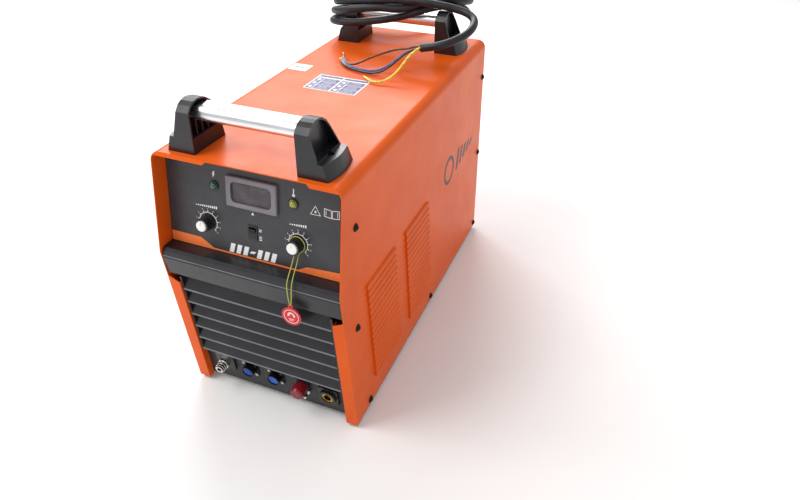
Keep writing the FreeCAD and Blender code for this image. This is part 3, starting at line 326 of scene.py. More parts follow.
def lens(name, dark, light):
    """A moulded lamp lens with small inner facets."""
    plastic = new_finish(name, specular=0.6, coat=0.8, coat_roughness=0.04)
    shader = shader_of(plastic)
    shader.inputs["Transmission Weight"].default_value = 0.35
    facets = pattern(plastic, "ShaderNodeTexVoronoi", 1.7).outputs["Distance"]
    tint(plastic, facets, dark, light, 0.05, 0.75)
    roughen(plastic, noise(plastic, 2.0), 0.12, 0.22)
    emboss(plastic, facets, 0.5, 0.3)
    return plastic


def circuit_board():
    board = new_finish("circuit_board", specular=0.5)
    traces = pattern(board, "ShaderNodeTexVoronoi", 3.2)
    traces.distance = "CHEBYCHEV"
    tint(board, traces.outputs["Distance"], linear(16, 52, 30), linear(36, 92, 52), 0.2, 0.55)
    roughen(board, noise(board, 3.0), 0.3, 0.5)
    return board


def laminated_core():
    """The transformer: stacked dark plates and varnished winding."""
    core = new_finish("laminated_core", metallic=0.3)
    plates = pattern(core, "ShaderNodeTexWave", 4.0, (1.0, 1.0, 1.0), distortion=0.6)
    tint(core, plates.outputs["Fac"], linear(44, 34, 28), linear(74, 58, 44), 0.2, 0.8)
    roughen(core, noise(core, 4.0), 0.45, 0.7)
    emboss(core, plates.outputs["Fac"], 0.4, 0.3)
    return core


def lead_jacket():
    """The mains lead: satin black rubber with scuffs and a faint lay of the cores."""
    jacket = new_finish("lead_jacket", specular=0.4)
    tint(jacket, noise(jacket, 18.0), linear(18, 18, 23), linear(36, 36, 43))
    roughen(jacket, noise(jacket, 12.0), 0.34, 0.5)
    emboss(jacket, noise(jacket, 9.0, detail=2.0), 0.2, 0.5)
    emboss(jacket, noise(jacket, 0.8), 0.2, 0.05)
    return jacket


def wire_jacket(name, dark, light):
    """Glossy insulation of one core."""
    jacket = new_finish(name, specular=0.5, coat=0.3)
    tint(jacket, noise(jacket, 7.0), dark, light)
    roughen(jacket, noise(jacket, 4.0), 0.25, 0.4)
    emboss(jacket, noise(jacket, 2.2), 0.15, 0.1)
    return jacket


def earth_jacket():
    """Yellow insulation with its green stripe wound round it."""
    jacket = new_finish("earth_jacket", specular=0.5, coat=0.3)
    stripe = pattern(jacket, "ShaderNodeTexWave", 14.0, turn=(0.0, 0.4, 0.7), distortion=0.4)
    tint(jacket, stripe.outputs["Fac"], linear(150, 176, 50), linear(248, 214, 52), 0.05, 0.22)
    roughen(jacket, noise(jacket, 4.0), 0.28, 0.42)
    return jacket


def twisted_string():
    thread = new_finish("twisted_string", specular=0.3)
    twist = pattern(thread, "ShaderNodeTexWave", 1.6, turn=(0.6, 0.5, 0.0), distortion=1.0)
    tint(thread, twist.outputs["Fac"], linear(168, 176, 62), linear(220, 222, 120), 0.1, 0.8)
    roughen(thread, noise(thread, 1.0), 0.7, 0.9)
    emboss(thread, twist.outputs["Fac"], 0.6, 0.3)
    return thread


def card(name, dark, light):
    """Coated card or label stock with a trace of fibre."""
    stock = new_finish(name, specular=0.4)
    tint(stock, noise(stock, 5.0, detail=6.0), dark, light)
    roughen(stock, noise(stock, 2.5), 0.38, 0.55)
    emboss(stock, noise(stock, 0.8, (1.0, 3.0, 1.0)), 0.15, 0.04)
    return stock


def ink(name, dark, light):
    """Screen-printed ink, slightly uneven over its film."""
    colour = new_finish(name, specular=0.4)
    tint(colour, noise(colour, 1.5, detail=5.0), dark, light)
    roughen(colour, noise(colour, 3.0), 0.4, 0.55)
    return colour


def floor_finish():
    """Matt white studio paper."""
    paper = new_finish("floor_finish", specular=0.1)
    tint(paper, noise(paper, 300.0), linear(246, 246, 246), linear(250, 250, 250))
    roughen(paper, noise(paper, 80.0), 0.85, 0.95)
    return paper


FINISHES = {
    "orange_paint": orange_enamel(),
    "black_paint": powder_coat(),
    "zinc_steel": zinc(),
    "black_steel": blackened_steel(),
    "bright_steel": turned_metal("bright_steel", linear(176, 178, 182), linear(224, 226, 230)),
    "nickel_plate": turned_metal(
        "nickel_plate", linear(186, 184, 178), linear(232, 230, 224), 0.1, 0.22,
    ),
    "brass": turned_metal("brass", linear(186, 146, 66), linear(226, 190, 104), 0.18, 0.34),
    "bright_aluminium": drawn_aluminium(),
    "raw_aluminium": cast_aluminium(),
    "black_rubber": soft_rubber(),
    "black_plastic": moulded_plastic(
        "black_plastic", linear(18, 18, 23), linear(29, 29, 35), 0.28, 0.38,
    ),
    "fan_black": moulded_plastic("fan_black", linear(22, 22, 24), linear(34, 34, 37), 0.4, 0.55),
    "knob_black": moulded_plastic(
        "knob_black", linear(18, 18, 20), linear(30, 30, 33), 0.22, 0.34, 0.1,
    ),
    "cap_white": moulded_plastic(
        "cap_white", linear(232, 232, 228), linear(246, 246, 244), 0.25, 0.36, 0.08,
    ),
    "overlay_film": film(),
    "meter_grey": moulded_plastic(
        "meter_grey", linear(112, 108, 116), linear(132, 128, 136), 0.28, 0.4, 0.1,
    ),
    "clear_window": tinted_glass(),
    "circuit_board": circuit_board(),
    "green_lens": lens("green_lens", linear(2, 50, 42), linear(20, 120, 96)),
    "yellow_lens": lens("yellow_lens", linear(110, 128, 24), linear(206, 214, 84)),
    "red_plastic": moulded_plastic(
        "red_plastic", linear(108, 12, 24), linear(146, 24, 36), 0.2, 0.32, 0.12,
    ),
    "blue_plastic": moulded_plastic(
        "blue_plastic", linear(28, 78, 176), linear(60, 122, 222), 0.3, 0.42, 0.12,
    ),
    "breaker_grey": moulded_plastic("breaker_grey", linear(204, 204, 198), linear(224, 224, 218), 0.38, 0.5),
    "transformer_dark": laminated_core(),
    "cable_black": lead_jacket(),
    "core_brown": wire_jacket("brown_jacket", linear(78, 42, 26), linear(112, 62, 38)),
    "core_blue": wire_jacket("blue_jacket", linear(44, 42, 120), linear(74, 72, 166)),
    "core_black": wire_jacket("black_jacket", linear(22, 22, 26), linear(40, 40, 48)),
    "core_earth": earth_jacket(),
    "string_green": twisted_string(),
    "tag_card": card("tag_card", linear(196, 34, 44), linear(214, 48, 56)),
}
WHITE_INK = ink("white_ink", linear(226, 226, 226), linear(246, 246, 246))
ORANGE_INK = ink("orange_ink", linear(238, 116, 50), linear(248, 134, 66))
DARK_INK = ink("dark_ink", linear(64, 50, 50), linear(82, 64, 62))
LABEL_WHITE = card("label_white", linear(226, 222, 224), linear(246, 244, 244))
LABEL_BLUE = card("label_blue", linear(50, 52, 104), linear(72, 76, 134))
# A paler glossy grey, used only for the painted highlight strips on the grille lips and the visor ridge.
PAINTED_HIGHLIGHT_PLASTIC = moulded_plastic(
    "painted_highlight_plastic", linear(96, 96, 106), linear(118, 118, 128), 0.14, 0.24, 0.05,
)
TAG_PINK = card("tag_pink", linear(236, 188, 190), linear(248, 216, 214))
COPPER = turned_metal("copper", linear(196, 150, 96), linear(236, 204, 150), 0.2, 0.36)

# Nodes that shine more than their record slot's finish does.
GLOSSY_NODES = ("gas_outlet_pad", "work_socket", "pilot_terminal")


def dress_nodes():
    """Give every CAD node the finish of its material slot, or the glossy one."""
    for part in frame["record"]["subparts"]:
        node = frame["nodes"][part["node"]]
        finish = FINISHES["knob_black" if part["node"] in GLOSSY_NODES else part["material_slot"]]
        if not node.material_slots:
            node.data.materials.append(finish)
        for slot in node.material_slots:
            slot.material = finish


def soften_edges(names, width):
    """Small moulded radii on the sharp edges of CAD nodes."""
    for name in names:
        bevel = frame["nodes"][name].modifiers.new("soft_edges", "BEVEL")
        bevel.width = width * MM
        bevel.segments = 3
        bevel.limit_method = "ANGLE"
        bevel.angle_limit = math.radians(28)
        bevel.harden_normals = False


# ---------------------------------------------------------------- placing flat prints
def on_face(x, height, out=0.0):
    """A point in front of the control face, by its place on the face."""
    y = FACE_FOOT[0] + (height - FACE_FOOT[1]) * math.tan(FACE_LEAN)
    return mm((x, y - out * math.cos(FACE_LEAN), height + out * math.sin(FACE_LEAN)))


def on_plate(x, height, out=0.0):
    """A point in front of the connector plate."""
    y = PLATE_FOOT[0] - (height - PLATE_FOOT[1]) * math.tan(PLATE_LEAN)
    return mm((x, y - out * math.cos(PLATE_LEAN), height - out * math.sin(PLATE_LEAN)))


def on_top(x, y, out=0.0):
    return mm((x, y, TOP_Z + out))


def on_right_side(y, height, out=0.0):
    return mm((SIDE_X + out, y, height))


def on_left_side(y, height, out=0.0):
    return mm((-SIDE_X - out, -y, height))


def on_rear(x, height, out=0.0):
    return mm((-x, REAR_FACE_Y + out, height))


def on_tag_front(x, height, out=0.0):
    return mm((x, TAG_FRONT_Y - out, height))


def on_tag_back(x, height, out=0.0):
    return mm((2 * TAG[0] - x, TAG_BACK_Y + out, height))


def add_mesh(name, vertices, faces, finish, body):
    mesh = bpy.data.meshes.new(name)
    mesh.from_pydata(vertices, [], faces)
    mesh.validate()
    mesh.materials.append(finish)
    obj = bpy.data.objects.new(name, mesh)
    bpy.context.scene.collection.objects.link(obj)
    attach(obj, body)
    return obj


def add_print(name, outlines, surface, finish, body="chassis", gap=PRINT_GAP):
    """Thin raised shapes on a surface; each outline runs counter-clockwise as it is read."""
    vertices, faces = [], []
    for outline in outlines:
        start, count = len(vertices), len(outline)
        vertices += [surface(a, b, gap) for a, b in outline]
        vertices += [surface(a, b, gap + PRINT) for a, b in outline]
        faces.append(tuple(range(start + count, start + 2 * count)))
        faces.append(tuple(range(start + count - 1, start - 1, -1)))
        for i in range(count):
            j = (i + 1) % count
            faces.append((start + i, start + j, start + count + j, start + count + i))
    return add_mesh(name, vertices, faces, finish, body)


def bar(x, y, width, height, slant=0.0):
    """An upright bar round a middle point, its top pushed sideways by slant."""
    half, rise = width / 2, height / 2
    return [
        (x - half - slant / 2, y - rise),
        (x + half - slant / 2, y - rise),
        (x + half + slant / 2, y + rise),
        (x - half + slant / 2, y + rise),
    ]


def disc(x, y, radius, count=40):
    points = []
    for i in range(count):
        turn = 2 * math.pi * i / count
        points.append((x + radius * math.cos(turn), y + radius * math.sin(turn)))
    return points


def arc_band(x, y, inner, outer, start, end, steps):
    """A curved band as separate four-sided cells, angles in degrees from the right."""
    cells = []
    for i in range(steps):
        a = math.radians(start + (end - start) * i / steps)
        b = math.radians(start + (end - start) * (i + 1) / steps)
        cells.append([
            (x + inner * math.cos(a), y + inner * math.sin(a)),
            (x + outer * math.cos(a), y + outer * math.sin(a)),
            (x + outer * math.cos(b), y + outer * math.sin(b)),
            (x + inner * math.cos(b), y + inner * math.sin(b)),
        ])
    return cells


def line_loop(points, width):
    """The outline of a convex shape drawn as a band inside it."""
    middle_x = sum(p[0] for p in points) / len(points)
    middle_y = sum(p[1] for p in points) / len(points)
    reach = min(math.hypot(p[0] - middle_x, p[1] - middle_y) for p in points)
    share = 1 - width / reach
    inner = [(middle_x + (a - middle_x) * share, middle_y + (b - middle_y) * share) for a, b in points]
    cells = []
    for i in range(len(points)):
        j = (i + 1) % len(points)
        cells.append([points[i], points[j], inner[j], inner[i]])
    return cells


# ---------------------------------------------------------------- control face graphics
def face_stripe():
    """The orange band along the foot of the overlay, deep at both ends."""
    left = [(-151.8, 301.9), (-75.0, 301.9), (-75.0, 305.0), (-98.0, 318.0), (-151.8, 318.0)]
    middle = [(-75.0, 301.9), (72.0, 301.9), (72.0, 304.6), (-75.0, 305.0)]
    right = [(72.0, 301.9), (151.8, 301.9), (151.8, 316.5), (86.0, 312.5), (72.0, 304.6)]
    add_print("face_stripe", [left, middle, right], on_face, ORANGE_INK)


def bolt_icon(x, y):
    upper = [
        (x - 0.3, y - 0.6), (x + 0.8, y + 0.4), (x + 2.2, y + 5.0), (x + 0.2, y + 5.0), (x - 2.4, y - 0.6),
    ]
    lower = [(x - 1.4, y - 5.0), (x + 2.6, y + 0.6), (x + 0.2, y + 0.6), (x - 0.8, y - 0.4)]
    return [upper, lower]


def thermometer_icon(x, y):
    return [bar(x, y + 1.6, 1.7, 9.4), disc(x, y - 3.8, 2.3, 20)]


def book_icon(x, y):
    """An open book: two leaves and a spine."""
    left = [(x - 12.0, y - 5.6), (x - 0.4, y - 7.0), (x - 0.4, y + 5.4), (x - 12.0, y + 7.0)]
    right = [(x + 0.4, y - 7.0), (x + 12.0, y - 5.6), (x + 12.0, y + 7.0), (x + 0.4, y + 5.4)]
    shapes = line_loop(left, 1.2) + line_loop(right, 1.2)
    shapes.append([(x - 9.4, y - 3.4), (x - 8.6, y - 3.5), (x - 8.6, y + 4.4), (x - 9.4, y + 4.5)])
    shapes.append([(x + 8.6, y - 3.5), (x + 9.4, y - 3.4), (x + 9.4, y + 4.5), (x + 8.6, y + 4.4)])
    return shapes


def triangle_icon(x, y):
    outer = [(x - 8.5, y - 6.2), (x + 8.5, y - 6.2), (x, y + 8.2)]
    inner = [(x - 2.0, y - 2.6), (x + 2.0, y - 2.6), (x, y + 1.4)]
    return line_loop(outer, 1.5) + [inner]


def dial_scale(x, y, inner, outer, start, end, steps, tick):
    """A dial's curved line with its ticks, angles in degrees from the right."""
    shapes = arc_band(x, y, inner, inner + 1.1, start, end, 36)
    for i in range(steps + 1):
        turn = math.radians(start + (end - start) * i / steps)
        across = (math.sin(turn) * tick / 2, -math.cos(turn) * tick / 2)
        near = (x + inner * math.cos(turn), y + inner * math.sin(turn))
        far = (x + outer * math.cos(turn), y + outer * math.sin(turn))
        shapes.append([
            (near[0] + across[0], near[1] + across[1]),
            (far[0] + across[0], far[1] + across[1]),
            (far[0] - across[0], far[1] - across[1]),
            (near[0] - across[0], near[1] - across[1]),
        ])
    return shapes


def rising_bars(x, y, count, width, low, high):
    """A row of bars that grow from left to right."""
    shapes = []
    for i in range(count):
        height = low + (high - low) * i / (count - 1)
        middle = x + (i - (count - 1) / 2) * width * 1.7
        shapes.append(bar(middle, y + height / 2, width, height))
    return shapes


def face_graphics():
    """White symbols and scales round the meter, lamps, dials and rocker."""
    shapes = bolt_icon(-68.0, 426.5)
    shapes += thermometer_icon(65.5, 424.5)
    shapes += triangle_icon(100.0, 404.5)
    shapes += book_icon(125.5, 405.0)
    shapes.append([(-5.4, 375.4), (-0.6, 375.4), (-3.0, 379.8)])
    for knob in (TIMER_KNOB, CURRENT_KNOB):
        shapes += dial_scale(*knob, SCALE_INNER, SCALE_OUTER, *DIAL_SWEEP, 10, 1.1)
    shapes += rising_bars(-84.0, 371.0, 11, 2.1, 1.4, 4.2)
    shapes += rising_bars(72.0, 374.6, 8, 2.1, 1.4, 4.2)
    shapes += [bar(9.2, 354.0, 4.6, 1.1), bar(9.2, 351.4, 4.6, 1.1)]
    shapes += [bar(9.2, 342.6, 4.6, 1.1), bar(9.2, 340.0, 4.6, 1.1), bar(9.2, 337.4, 4.6, 1.1)]
    for i in range(7):
        height = 4.0 if i == 3 else 15.0
        shapes.append(bar(-41.0 + i * 12.0, 313.4, 7.6, height, 4.0))
    add_print("face_symbols", shapes, on_face, WHITE_INK)


def dial_numbers(name, x, y, radius, start, end, size):
    """The figures 0 to 10 round a dial, as printed text."""
    for value in range(11):
        turn = math.radians(start + (end - start) * value / 10)
        data = bpy.data.curves.new(f"{name}_{value}", "FONT")
        data.body = str(value)
        data.size = size * MM
        data.align_x = "CENTER"
        data.align_y = "CENTER"
        data.extrude = PRINT / 2 * MM
        data.materials.append(WHITE_INK)
        text = bpy.data.objects.new(f"{name}_{value}", data)
        bpy.context.scene.collection.objects.link(text)
        place = on_face(x + radius * math.cos(turn), y + radius * math.sin(turn), PRINT_GAP + PRINT / 2)
        text.matrix_world = Matrix.Translation(place) @ Matrix.Rotation(math.pi / 2 - FACE_LEAN, 4, "X")
        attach(text, "chassis")


def digit_segments(x, y):
    """The seven unlit bars of one display figure, leaning a little."""
    shapes = []
    for rise in (-7.0, 0.0, 7.0):
        shapes.append(bar(x + rise * 0.1, y + rise, 6.4, 1.5))
    for rise in (-3.5, 3.5):
        for side in (-4.3, 4.3):
            shapes.append(bar(x + side + rise * 0.1, y + rise, 1.5, 5.0, 0.5))
    return shapes


def meter_digits():
    """Unlit figures on the display blocks behind the window."""
    shapes = []
    for x in (-20.5, -2.5, 15.5):
        shapes += digit_segments(x, 407.6)
        shapes.append(disc(x + 6.0, 400.2, 0.8, 12))
    digits = ink("unlit_digits", linear(96, 70, 72), linear(124, 92, 94))
    add_print("meter_digits", shapes, on_face, digits, gap=-0.95)


# ---------------------------------------------------------------- labels
def top_label():
    """A two-column table plate, its cells left blank."""
    low_x, low_y, wide, deep = -69.0, -28.0, 100.0, 69.0
    plate = bar(low_x + wide / 2, low_y + deep / 2, wide, deep)
    add_print("top_label", [plate], on_top, LABEL_WHITE)
    cells, marks = [], []
    for column in range(2):
        left = low_x + 2 + column * 49.0
        cells.append(bar(left + 23.5, low_y + deep - 7.0, 46.0, 8.0))
        for row in range(3):
            y = low_y + 10.2 + row * 17.6
            cells.append(bar(left + 7.0, y, 13.0, 16.2))
            cells.append(bar(left + 30.8, y, 31.5, 16.2))
            marks.append(bar(left + 7.0, y, 6.5, 6.5))
            for line in range(3):
                marks.append(bar(left + 30.0, y - 4.6 + line * 4.6, 25.0 - 4.0 * line, 0.6))
    add_print("top_label_cells", cells, on_top, LABEL_BLUE, gap=PRINT_GAP + PRINT)
    add_print("top_label_marks", marks, on_top, LABEL_WHITE, gap=PRINT_GAP + 2 * PRINT)


def top_sticker():
    """A small white sticker with plain upright bars."""
    add_print("top_sticker", [bar(-122.0, 59.0, 38.0, 32.0)], on_top, LABEL_WHITE)
    marks = [bar(-134.0 + i * 3.4, 59.0, 0.8 + 0.7 * (i % 3), 9.0) for i in range(8)]
    add_print("top_sticker_marks", marks, on_top, DARK_INK, gap=PRINT_GAP + PRINT)


def side_badge(name, surface, y):
    """A plain ring and five slanted bars that shrink, printed dark."""
    shapes = arc_band(y, BADGE_HEIGHT, 22.0, 30.0, 0.0, 360.0, 60)
    for i in range(5):
        shapes.append(bar(y + 54.0 + i * 22.0, BADGE_HEIGHT, 12.0, 44.0 - 8.0 * i, 12.0))
    add_print(name, shapes, surface, DARK_INK)


def on_lip(x, height, out=0.0):
    """A point on the nose of the grille lip just below this height."""
    lip = max(z for z in LIPS if z < height)
    return on_plate(x, height, LIP_REACH - LIP_FALL * (height - lip) + out)


def on_visor(x, height, out=0.0):
    """A point on the front of the visor, below its ridge."""
    y = RIDGE[0] - RIDGE_LEAN * (RIDGE[1] - height)
    return mm((x, y - out * RIDGE_OUT[0], height + out * RIDGE_OUT[1]))


def lip_edges():
    """A paler grey strip along each lip of the front grille and along the visor's ridge: a painted highlight
    standing in for the light their rounded edges catch.
    """
    noses = [bar(0.0, z + 2.5, 263.0, 2.3) for z in LIPS]
    # Painted highlight: these paler strips stand in for light caught by the rounded lips and ridge.
    add_print("lip_edges", noses, on_lip, PAINTED_HIGHLIGHT_PLASTIC)
    add_print("visor_ridge_highlight", [bar(0.0, 288.4, 306.0, 1.5)], on_visor, PAINTED_HIGHLIGHT_PLASTIC)


def rating_plate():
    """A blank rating plate on the rear panel, a fixing pip at each corner."""
    x, z, wide, high = 85.0, 395.0, 74.0, 46.0
    add_print("rating_plate", [bar(x, z, wide, high)], on_rear, FINISHES["bright_steel"])
    rows = [bar(x, z - 15.0 + i * 7.5, wide - 12.0, 0.6) for i in range(5)]
    rows += [bar(x - 10.0, z, 0.6, high - 14.0), bar(x + 12.0, z, 0.6, high - 14.0)]
    add_print("rating_plate_rows", rows, on_rear, DARK_INK, gap=PRINT_GAP + PRINT)
    pips = [disc(x + a * 33.5, z + b * 19.5, 1.5, 16) for a in (-1, 1) for b in (-1, 1)]
    add_print("rating_plate_pips", pips, on_rear, FINISHES["zinc_steel"], gap=PRINT_GAP + PRINT)


def rear_marks():
    """Earth symbol beside the stud and on/off figures beside the breaker."""
    earth_x, switch_x = 118.0, -136.0
    shapes = [bar(earth_x, 62.0, 1.2, 8.0), bar(earth_x, 57.6, 10.0, 1.2)]
    shapes += [bar(earth_x, 54.8, 6.4, 1.2), bar(earth_x, 52.0, 3.0, 1.2)]
    shapes.append(bar(switch_x, 406.0, 1.4, 7.0))
    shapes += arc_band(switch_x, 384.0, 2.6, 3.8, 0.0, 360.0, 24)
    add_print("rear_marks", shapes, on_rear, WHITE_INK)


def tag_prints():
    """A pale ring and a plain pale figure on both sides of the red tag."""
    x, z = TAG
    ring = arc_band(x, z, 11.4, 12.6, 0.0, 360.0, 40)
    figure = arc_band(x, z + 1.5, 3.2, 6.4, 200.0, -20.0, 20)
    figure += [bar(x, z - 5.0, 9.0, 1.6), bar(x, z - 7.8, 6.0, 1.2)]
    for side, surface in (("front", on_tag_front), ("back", on_tag_back)):
        add_print(f"tag_{side}_print", ring + figure, surface, TAG_PINK, "hang_tag", gap=TAG_SINK)


# ---------------------------------------------------------------- round pieces
def turned_piece(name, profile, origin, direction, finish, body="chassis", sides=40):
    """A solid of revolution: (distance along, radius) pairs about an axis."""
    axis = direction.normalized()
    across = axis.orthogonal().normalized()
    other = axis.cross(across)
    vertices, faces = [], []
    for along, radius in profile:
        for i in range(sides):
            turn = 2 * math.pi * i / sides
            offset = across * math.cos(turn) + other * math.sin(turn)
            vertices.append(origin + (axis * along + offset * radius) * MM)
    for ring in range(len(profile) - 1):
        for i in range(sides):
            j = (i + 1) % sides
            low, high = ring * sides, (ring + 1) * sides
            faces.append((low + i, low + j, high + j, high + i))
    faces.append(tuple(range(sides - 1, -1, -1)))
    last = (len(profile) - 1) * sides
    faces.append(tuple(range(last, last + sides)))
    piece = add_mesh(name, vertices, faces, finish, body)
    for polygon in piece.data.polygons:
        polygon.use_smooth = len(polygon.vertices) == 4
    return piece


BOOT_FOOT = (60, 343.6, 105)
BOOT_RADIUS = 10.4
BOOT_RIBS = 6
RIB_PITCH = 5.6
RIB_TAPER = 0.26                                 # each rib is this much slimmer than the last


def lead_boot():
    """The ribbed, tapered sleeve where the lead leaves its gland."""
    profile = [(0.0, 8.2), (0.0, BOOT_RADIUS)]
    for i in range(BOOT_RIBS):
        start, radius = 1.0 + i * RIB_PITCH, BOOT_RADIUS - i * RIB_TAPER
        profile += [(start, radius), (start + 3.2, radius - 0.15)]
        profile += [(start + 3.8, radius - 0.9), (start + 5.2, radius - 1.0)]
    profile += [(35.6, 8.3), (37.0, 7.8)]
    backward = Vector((0, 1, 0))
    return turned_piece("lead_boot", profile, mm(BOOT_FOOT), backward, FINISHES["black_rubber"])


def side_terminal():
    """The small bright stud and nut beside the red terminal."""
    x, height, pad = 63.2, 43.2, 4.0
    foot = on_plate(x, height, pad)
    outward = on_plate(x, height, pad + 1.0) - foot
    nut = [
        (0.0, 3.9), (1.4, 3.9), (1.5, 3.6), (5.4, 3.6), (6.0, 3.3), (6.1, 2.6), (11.4, 2.6), (12.2, 1.9),
    ]
    turned_piece("side_terminal", nut, foot, outward, FINISHES["bright_steel"], sides=6)
    cap = [(0.1, 2.9), (12.6, 2.9), (14.0, 2.0), (14.4, 0.6)]
    turned_piece("side_terminal_tip", cap, foot, outward, FINISHES["nickel_plate"])


def lamp_bezels():
    """The dark ring round each lamp's dome."""
    profile = [(0.05, 8.1), (1.6, 8.1), (1.8, 7.7), (1.8, 6.4), (1.1, 6.0), (0.4, 6.0)]
    for name, x, height in (("power", -68.0, 409.0), ("heat", 65.0, 408.0)):
        foot = on_face(x, height)
        outward = on_face(x, height, 1.0) - foot
        turned_piece(f"{name}_lamp_bezel", profile, foot, outward, FINISHES["knob_black"], sides=64)


# ---------------------------------------------------------------- mains lead
COIL_MIDDLE = (-4.0, 284.0, 532.0)
COIL_RADIUS = 70.0
COIL_STRAIGHT = 76.0
COIL_SKEW = 9.0
COIL_RISE = 0.17

# From the gland, up behind the cabinet to the loops.
LEAD_TAIL = (
    (60, 343.5, 105), (60, 380, 105.6), (60, 417, 116), (60, 446, 140.5), (60, 464, 180), (59, 470, 232),
    (57, 470, 287), (54, 463, 342), (49, 450, 394), (40, 431, 441), (24, 405, 473), (0, 380, 491),
    (-32, 361, 496), (-66, 350, 496),
)
# Each loop is an angle round the handle, with how far the strand stands out and up there.
FIRST_LEFT = (
    (105, 5, -13), (135, 3, -10), (165, 3, -9), (195, 4, -11), (218, 1, -13), (241, -10, -17),
    (263, -14, -19),
)
FIRST_FRONT = ((-12, 224, 519.5), (30, 233, 531.5), (66, 247, 544), (95, 260, 549.5))
FIRST_RIGHT = (
    (325, -16, -17), (350, -16, -28), (378, -14, -31), (407, -7, -24), (435, -5, -9), (465, -8, 4),
    (495, -4, 7), (525, 0, 7.5), (555, 0, 8.5), (580, -1, 9), (605, -1, 9), (630, -2, 10),
)
SECOND_FRONT = ((-22, 211, 545), (10, 219, 541.5), (40, 237, 549), (70, 252, 558), (95, 264, 563))
SECOND_RIGHT = (
    (675, -14, 1), (705, -14, -4), (735, -10, -6), (765, -2, -2), (795, 3, 8), (825, 1, 18), (855, -2, 23),
    (885, -6, 25), (915, -6, 26), (940, -8, 27),
)
# Over the right mount, round in one wide loop and down to the cut end above the cabinet.
LEAD_END = (
    (-94, 219, 549), (-52, 218, 553), (-10, 223, 558), (28, 225, 560), (62, 228, 559), (92, 231.5, 556),
    (121, 236, 551), (146, 234, 546), (164, 220, 540), (171, 195, 534), (167, 169, 527), (153, 147, 520),
    (133, 134, 513), (112, 129.5, 507.5), (92, 130, 503),
)
CORE_ROUTES = {
    "core_brown": (
        (93, 132.4, 504.7), (80, 137, 503), (66, 140.5, 496), (50, 143, 492), (33, 143, 488),
        (15, 130, 483), (-4, 114, 477), (-24, 101, 467), (-38, 96.5, 465), (-52, 107, 465),
        (-61, 120, 467), (-68, 131, 469.5),
    ),
    "core_blue": (
        (93, 131.2, 501.1), (80, 128, 499.5), (66, 121, 495), (56, 108, 487), (47, 93, 478.5), (33, 83, 470),
        (18, 80, 466), (0, 80.5, 464.7), (-20, 84.5, 464.6), (-38, 90.5, 464.6), (-52, 101, 464.8),
        (-62, 115, 466.5),
    ),
    "core_black": (
        (93, 127.6, 502.3), (82, 123, 502), (70, 112, 496.5), (60, 97, 488), (50, 82, 478), (37, 73.5, 469.5),
        (22, 70.5, 465.5), (4, 71.5, 464.6), (-15, 75.5, 464.6), (-33, 82, 464.6), (-50, 94, 464.8),
        (-63, 110, 466.5),
    ),
    "core_earth": (
        (93, 128.8, 505.9), (90, 119, 505), (84, 103, 500.5), (80, 85, 493), (76, 67, 483.5), (68, 50, 472.5),
        (56, 38, 466), (42, 33, 464.6), (28, 38, 464.6), (17, 48, 464.7),
    ),
}
BARE_TIP = 8.0                                   # stripped copper on each core
TIP_TUCK = 0.6                                   # how far it starts inside the core
STRANDS = 7                                      # six round one in the middle
STRAND_RADIUS = 0.41
STRAND_RING = 0.82                               # the six strands' distance from the middle
STRAND_TWIST = 1.6                               # radians over the bare length
STRAND_SIDES = 8
STRAND_STEPS = 7


def coil_point(degrees, spread, lift):
    """A point of the loops on the rear handle, which lie high at the right and low at the left."""
    turn = math.radians(degrees)
    skew = math.radians(COIL_SKEW)
    shift = COIL_STRAIGHT if math.cos(turn) > 0 else -COIL_STRAIGHT
    along = shift + (COIL_RADIUS + spread) * math.cos(turn)
    back = (COIL_RADIUS + spread) * math.sin(turn)
    x = COIL_MIDDLE[0] + along * math.cos(skew) - back * math.sin(skew)
    y = COIL_MIDDLE[1] + along * math.sin(skew) + back * math.cos(skew)
    z = COIL_MIDDLE[2] + COIL_RISE * (along - back) + lift
    return (x, y, z)


def lead_route():
    points = list(LEAD_TAIL)
    for loop, front in ((FIRST_LEFT, FIRST_FRONT), (FIRST_RIGHT, SECOND_FRONT), (SECOND_RIGHT, LEAD_END)):
        for degrees, spread, lift in loop:
            points.append(coil_point(degrees, spread, lift))
        points += front
    return points


def cord_curve(name, points, diameter, finish, body, round_steps=6):
    """A smooth round cord through the pull of its control points."""
    data = bpy.data.curves.new(name, "CURVE")
    data.dimensions = "3D"
    data.bevel_depth = diameter / 2 * MM
    data.bevel_resolution = round_steps
    data.resolution_u = 10
    data.use_fill_caps = True
    spline = data.splines.new("NURBS")
    spline.points.add(len(points) - 1)
    for place, point in zip(spline.points, points):
        place.co = (*mm(point), 1.0)
    spline.order_u = 3
    spline.use_endpoint_u = True
    data.materials.append(finish)
    curve = bpy.data.objects.new(name, data)
    bpy.context.scene.collection.objects.link(curve)
    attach(curve, body)
    return curve


def curve_points(curve):
    """The points of a cord's own smooth line, in metres."""
    bare = curve.data.copy()
    bare.bevel_depth = 0.0
    probe = bpy.data.objects.new("probe", bare)
    mesh = bpy.data.meshes.new_from_object(probe)
    points = [vertex.co.copy() for vertex in mesh.vertices]
    bpy.data.objects.remove(probe)
    bpy.data.meshes.remove(mesh)
    bpy.data.curves.remove(bare)
    return points


def curve_length(points):
    return sum((b - a).length for a, b in zip(points, points[1:]))


